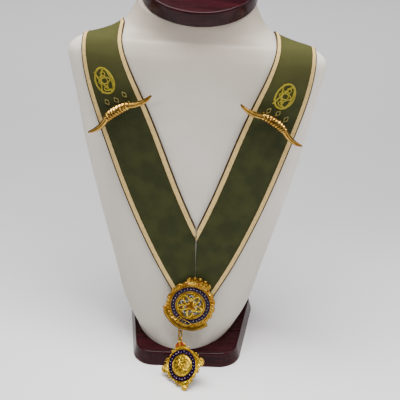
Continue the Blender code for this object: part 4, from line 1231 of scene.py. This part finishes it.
def make_pendant():
    turn = (Matrix.Rotation(PENDANT_SLOPE, 4, "X") @ Matrix.Rotation(-PENDANT_ROLL, 4, "Y")
            @ Matrix.Rotation(PENDANT_SWING, 4, "Z"))
    low = PENDANT_PLATE + ENAMEL_SEAT
    matrix = place_of("pendant_enamel", turn, low)
    body = Solid()
    edge = PENDANT_RING_OUTER + PENDANT_RIM
    power = 1.12

    def outline(angle):
        c, s = abs(cos(angle)), abs(sin(angle))
        lozenge = (PENDANT_HALF - 2.6) / (c ** power + s ** power) ** (1 / power)
        return max(lozenge, edge + 0.9) + 0.75 * abs(sin(10 * angle + 0.2)) ** 0.8
    leaf_border(body, edge - 0.15, outline, 32, 0.7, 2.45, 0.7)
    ring_plate(body, PENDANT_RING_INNER, PENDANT_RING_OUTER, PENDANT_RIM, PENDANT_PLATE,
               PENDANT_RELIEF, 90)
    for angle in (0.0, pi, 1.5 * pi):
        add_shell(body, angle)
    for quarter in range(4):
        for side in (-1, 1):
            angle = (quarter + 0.5) * pi / 2 + side * 0.30
            add_curl(body, around(edge + 1.6, angle), angle + side * 0.6, -side, 1.45)
    add_crown(body)
    bail = (0.0, CROWN_FOOT + CROWN_HEIGHT + BAIL_RISE, 1.0)
    body.tube(circle(LUG_RADIUS * 0.9, 36, bail[2], bail[:2]), LUG_WIRE, 12, closed=True)
    body.make("pendant", "bright_gilt", matrix, "pendant_frame")
    make_enamel_ring("pendant_ring", "pendant_enamel", matrix, PENDANT_RING_INNER,
                     PENDANT_RING_OUTER, low, 26, 0.16)
    make_rosette(matrix, low)
    make_crown_cap(matrix)
    return matrix @ (Vector(bail) * MM)


def add_shell(body, angle):
    """Fluted shell at a corner of the lozenge, with a curl on each side."""
    reach = PENDANT_HALF - PENDANT_LOBE
    middle = around(reach, angle)
    for share in shares(6):
        swing = angle + (share - 0.5) * 2.2
        body.blob((*around(0.46 * PENDANT_LOBE, swing, middle), 1.15),
                  (PENDANT_LOBE * 0.56, PENDANT_LOBE * 0.155, 1.35), swing, 16)
    body.blob((*middle, 1.6), (1.5, 1.5, 1.15), 0.0, 14)
    for side in (-1, 1):
        add_curl(body, around(reach - 0.6, angle + side * 0.26), angle + side * 1.3, side, 2.0)


def add_curl(body, centre, heading, way, size):
    points = []
    for t in shares(29):
        reach = size * (1 - t) ** 0.8 + 0.2
        points.append((*around(reach, heading + way * 5.2 * t, centre), 1.5 + 0.7 * t))
    body.tube(points, [0.55 - 0.22 * t for t in shares(29)], 8)


def add_crown(body):
    """Foot band with pearls, two side arches, a middle arch and an orb."""
    half = CROWN_WIDTH / 2
    foot = CROWN_FOOT
    tall = CROWN_HEIGHT - 1.0
    body.prism([(-half, foot - 1.5), (half, foot - 1.5), (half, foot + 0.9), (-half, foot + 0.9)],
               0.15, 2.5, 0.3, mark=0.25)
    for k in range(7):
        body.blob(((k - 3) * half * 0.29, foot - 0.3, 2.5), (0.55, 0.62, 0.4), 0.0, 10, 6)
    for height in (foot - 1.35, foot + 0.8):
        body.tube([(-half * 1.02, height, 2.3), (0.0, height, 2.45), (half * 1.02, height, 2.3)],
                  0.32, 8)
    arch = [(half * 1.06 * cos(pi * t), foot + tall * (0.25 + 0.75 * sin(pi * t)))
            for t in shares(24)]
    body.prism([(half * 0.92, foot), *arch, (-half * 0.92, foot)], 0.1, 1.0, 0.1, mark=0.4)
    for side in (-1, 1):
        points = [(side * half * 1.02 * cos(angle), foot + 0.5 + (tall - 0.5) * sin(angle), 1.5)
                  for angle in (pi / 2 * t for t in shares(18))]
        body.tube(points, 0.45, 9)
        for x, y, z in points[3:16:3]:
            body.blob((x, y, z + 0.55), (0.42, 0.42, 0.36), 0.0, 8, 6)
    body.tube([(0.0, foot + 0.8 + (tall - 0.9) * t, 2.55 + 0.35 * sin(pi * t))
               for t in shares(8)], 0.42, 8)
    body.blob((0.0, foot + tall, 1.4), (1.0, 1.0, 1.1), 0.3, 16, 10)


def make_crown_cap(matrix):
    """Pleated red cap inside the crown."""
    half = CROWN_WIDTH / 2 - 0.8
    foot = CROWN_FOOT + 0.9
    tall = CROWN_HEIGHT - 2.3
    rings = []
    for scale, height in ((1.0, PENDANT_PLATE + 0.05), (1.0, 2.0), (0.93, 2.35), (0.78, 2.62),
                          (0.5, 2.78)):
        ring = []
        for angle in (pi * t for t in shares(32)):
            size = scale * (1 + 0.035 * cos(12 * angle))
            ring.append((half * size * cos(angle), foot + tall * 0.5
                         + tall * size * (sin(angle) * 0.62 - 0.12) + tall * 0.12, height))
        ring += [(end * half * scale, foot + tall * (0.5 - 0.5 * scale), height)
                 for end in (-1, 1)]
        rings.append(ring)
    solid = Solid()
    solid.rings(rings)
    solid.make("pendant_crown", "red_enamel", matrix, "pendant_crown_cap")


def make_rosette(matrix, low):
    """Domed gilt centre with a rosette of eight petals and a beaded edge."""
    radius = PENDANT_RING_INNER - PENDANT_RIM - 0.05
    rise = PENDANT_DOME - 0.6
    profile = [(radius, low), (radius, low + 0.6)]
    for angle in (pi / 2 * share for share in shares(12)[1:-1]):
        profile.append((radius * cos(angle), low + 0.6 + rise * sin(angle)))
    solid = Solid()
    solid.disc([*profile, (0.05, low + PENDANT_DOME)], 90, mark=0.18)

    def on_dome(part, angle, above):
        reach = radius * part
        share = reach / radius
        return (*around(reach, angle), low + 0.6 + rise * sqrt(1 - share * share) + above)
    for angle in turns(8, 0.5):
        for part, wide in ((0.34, 0.115), (0.52, 0.135)):
            solid.blob(on_dome(part, angle, 0.05), (radius * 0.2, radius * wide, 0.55), angle, 14)
        middle = angle + pi / 8
        solid.blob(on_dome(0.68, middle, 0.05), (radius * 0.16, radius * 0.06, 0.4), middle, 10, 6)
    solid.blob((0, 0, low + PENDANT_DOME), (1.5, 1.5, 0.75), 0.0, 18, 9)
    for angle in turns(36):
        solid.blob(on_dome(0.90, angle, 0.1), (0.42, 0.42, 0.32), 0.0, 8, 5)
    solid.make("pendant_dome", "bright_gilt", matrix, "pendant_centre")


def make_link(lug, bail):
    line = (bail - lug).normalized()
    hole = (Matrix.Rotation(LINK_TURN, 3, line) @ Vector((1, 0, 0))).normalized()
    matrix = Matrix((line, -line.cross(hole), hole)).transposed().to_4x4()
    solid = Solid()
    solid.tube(circle(LINK_RADIUS, 56), LINK_WIRE, 14, closed=True, mark=0.6)
    solid.make("link", "gilt", Matrix.Translation((lug + bail) / 2) @ matrix, "jewel_link")


# Stage, lights and camera

def make_stage():
    """A round floor, pale in front of the part, with painted shade just behind it that fades back
    to pale far away.
    """
    look = Look("pale_floor", None, (0.80, 0.79, 0.81), 0.6)
    y = look.parts(look.where)[1]
    # painted shade: the floor behind the part is darkened as by its shadow, and pale again far away
    far = look.span(y, 330.0, 900.0)
    back = look.mix(far, (0.55, 0.54, 0.555), (0.82, 0.81, 0.825))
    tone = look.span(look.noise(0.004, 3.0), 0.3, 0.7)
    look.tint(tone, (0.87, 0.855, 0.87), (0.83, 0.815, 0.83))
    # lay the painted shade on the floor behind the part
    look.tint(look.span(y, -80.0, 260.0), back)
    points = [(0.0, 0.0, 0.0)]
    faces = []
    for ring, radius in enumerate(FLOOR_RADII):
        points += circle(radius, FLOOR_SIDES)
        for k in range(FLOOR_SIDES):
            outer = [1 + ring * FLOOR_SIDES + j % FLOOR_SIDES for j in (k, k + 1)]
            inner = [j - FLOOR_SIDES for j in reversed(outer)] if ring else [0]
            faces.append((*outer, *inner))
    mesh = bpy.data.meshes.new("floor")
    mesh.from_pydata(points, [], faces)
    mesh.materials.append(LOOKS["pale_floor"][0])
    add("floor", mesh)


def make_lights():
    world = bpy.data.worlds.new("soft_room")
    bpy.context.scene.world = world
    world.use_nodes = True
    shade = world.node_tree.nodes["Background"].inputs
    shade["Color"].default_value = ROOM_COLOUR
    shade["Strength"].default_value = ROOM_STRENGTH
    for name, place, aim, size, power, colour in LIGHTS:
        data = bpy.data.lights.new(name, "AREA")
        data.shape = "RECTANGLE"
        data.size, data.size_y = size
        data.energy = power
        data.color = colour
        light = add(name, data)
        light.location = place
        light.rotation_euler = (Vector(aim) - Vector(place)).to_track_quat("-Z", "Y").to_euler()


def make_camera():
    data = bpy.data.cameras.new("camera")
    data.lens = CAMERA_LENS
    data.sensor_width = 36.0
    data.clip_start = 0.01
    right = Vector((cos(CAMERA_AZIMUTH), sin(CAMERA_AZIMUTH), 0.0))
    back = Vector((sin(CAMERA_AZIMUTH) * cos(CAMERA_ELEVATION),
                   -cos(CAMERA_AZIMUTH) * cos(CAMERA_ELEVATION), sin(CAMERA_ELEVATION)))
    turn = Matrix((right, back.cross(right), back)).transposed().to_4x4()
    camera = add("camera", data)
    camera.matrix_world = Matrix.Translation(CAMERA_AIM + back * CAMERA_DISTANCE) @ turn
    bpy.context.scene.camera = camera


def main():
    make_looks()
    make_base()
    make_cap()
    surface = surface_of(make_bust())
    for side, word in ((-1, "left"), (1, "right")):
        ribbon = Ribbon(side, surface)
        make_ribbon("ribbon_" + word, "collar_" + word, side, ribbon)
        make_embroidery(word, ribbon, side)
        make_horn_pin("pin_" + word, "horn_pin_" + word, side, ribbon.upper())
    lug = make_breast_jewel()
    make_link(lug, make_pendant())
    make_stage()
    make_lights()
    make_camera()


main()
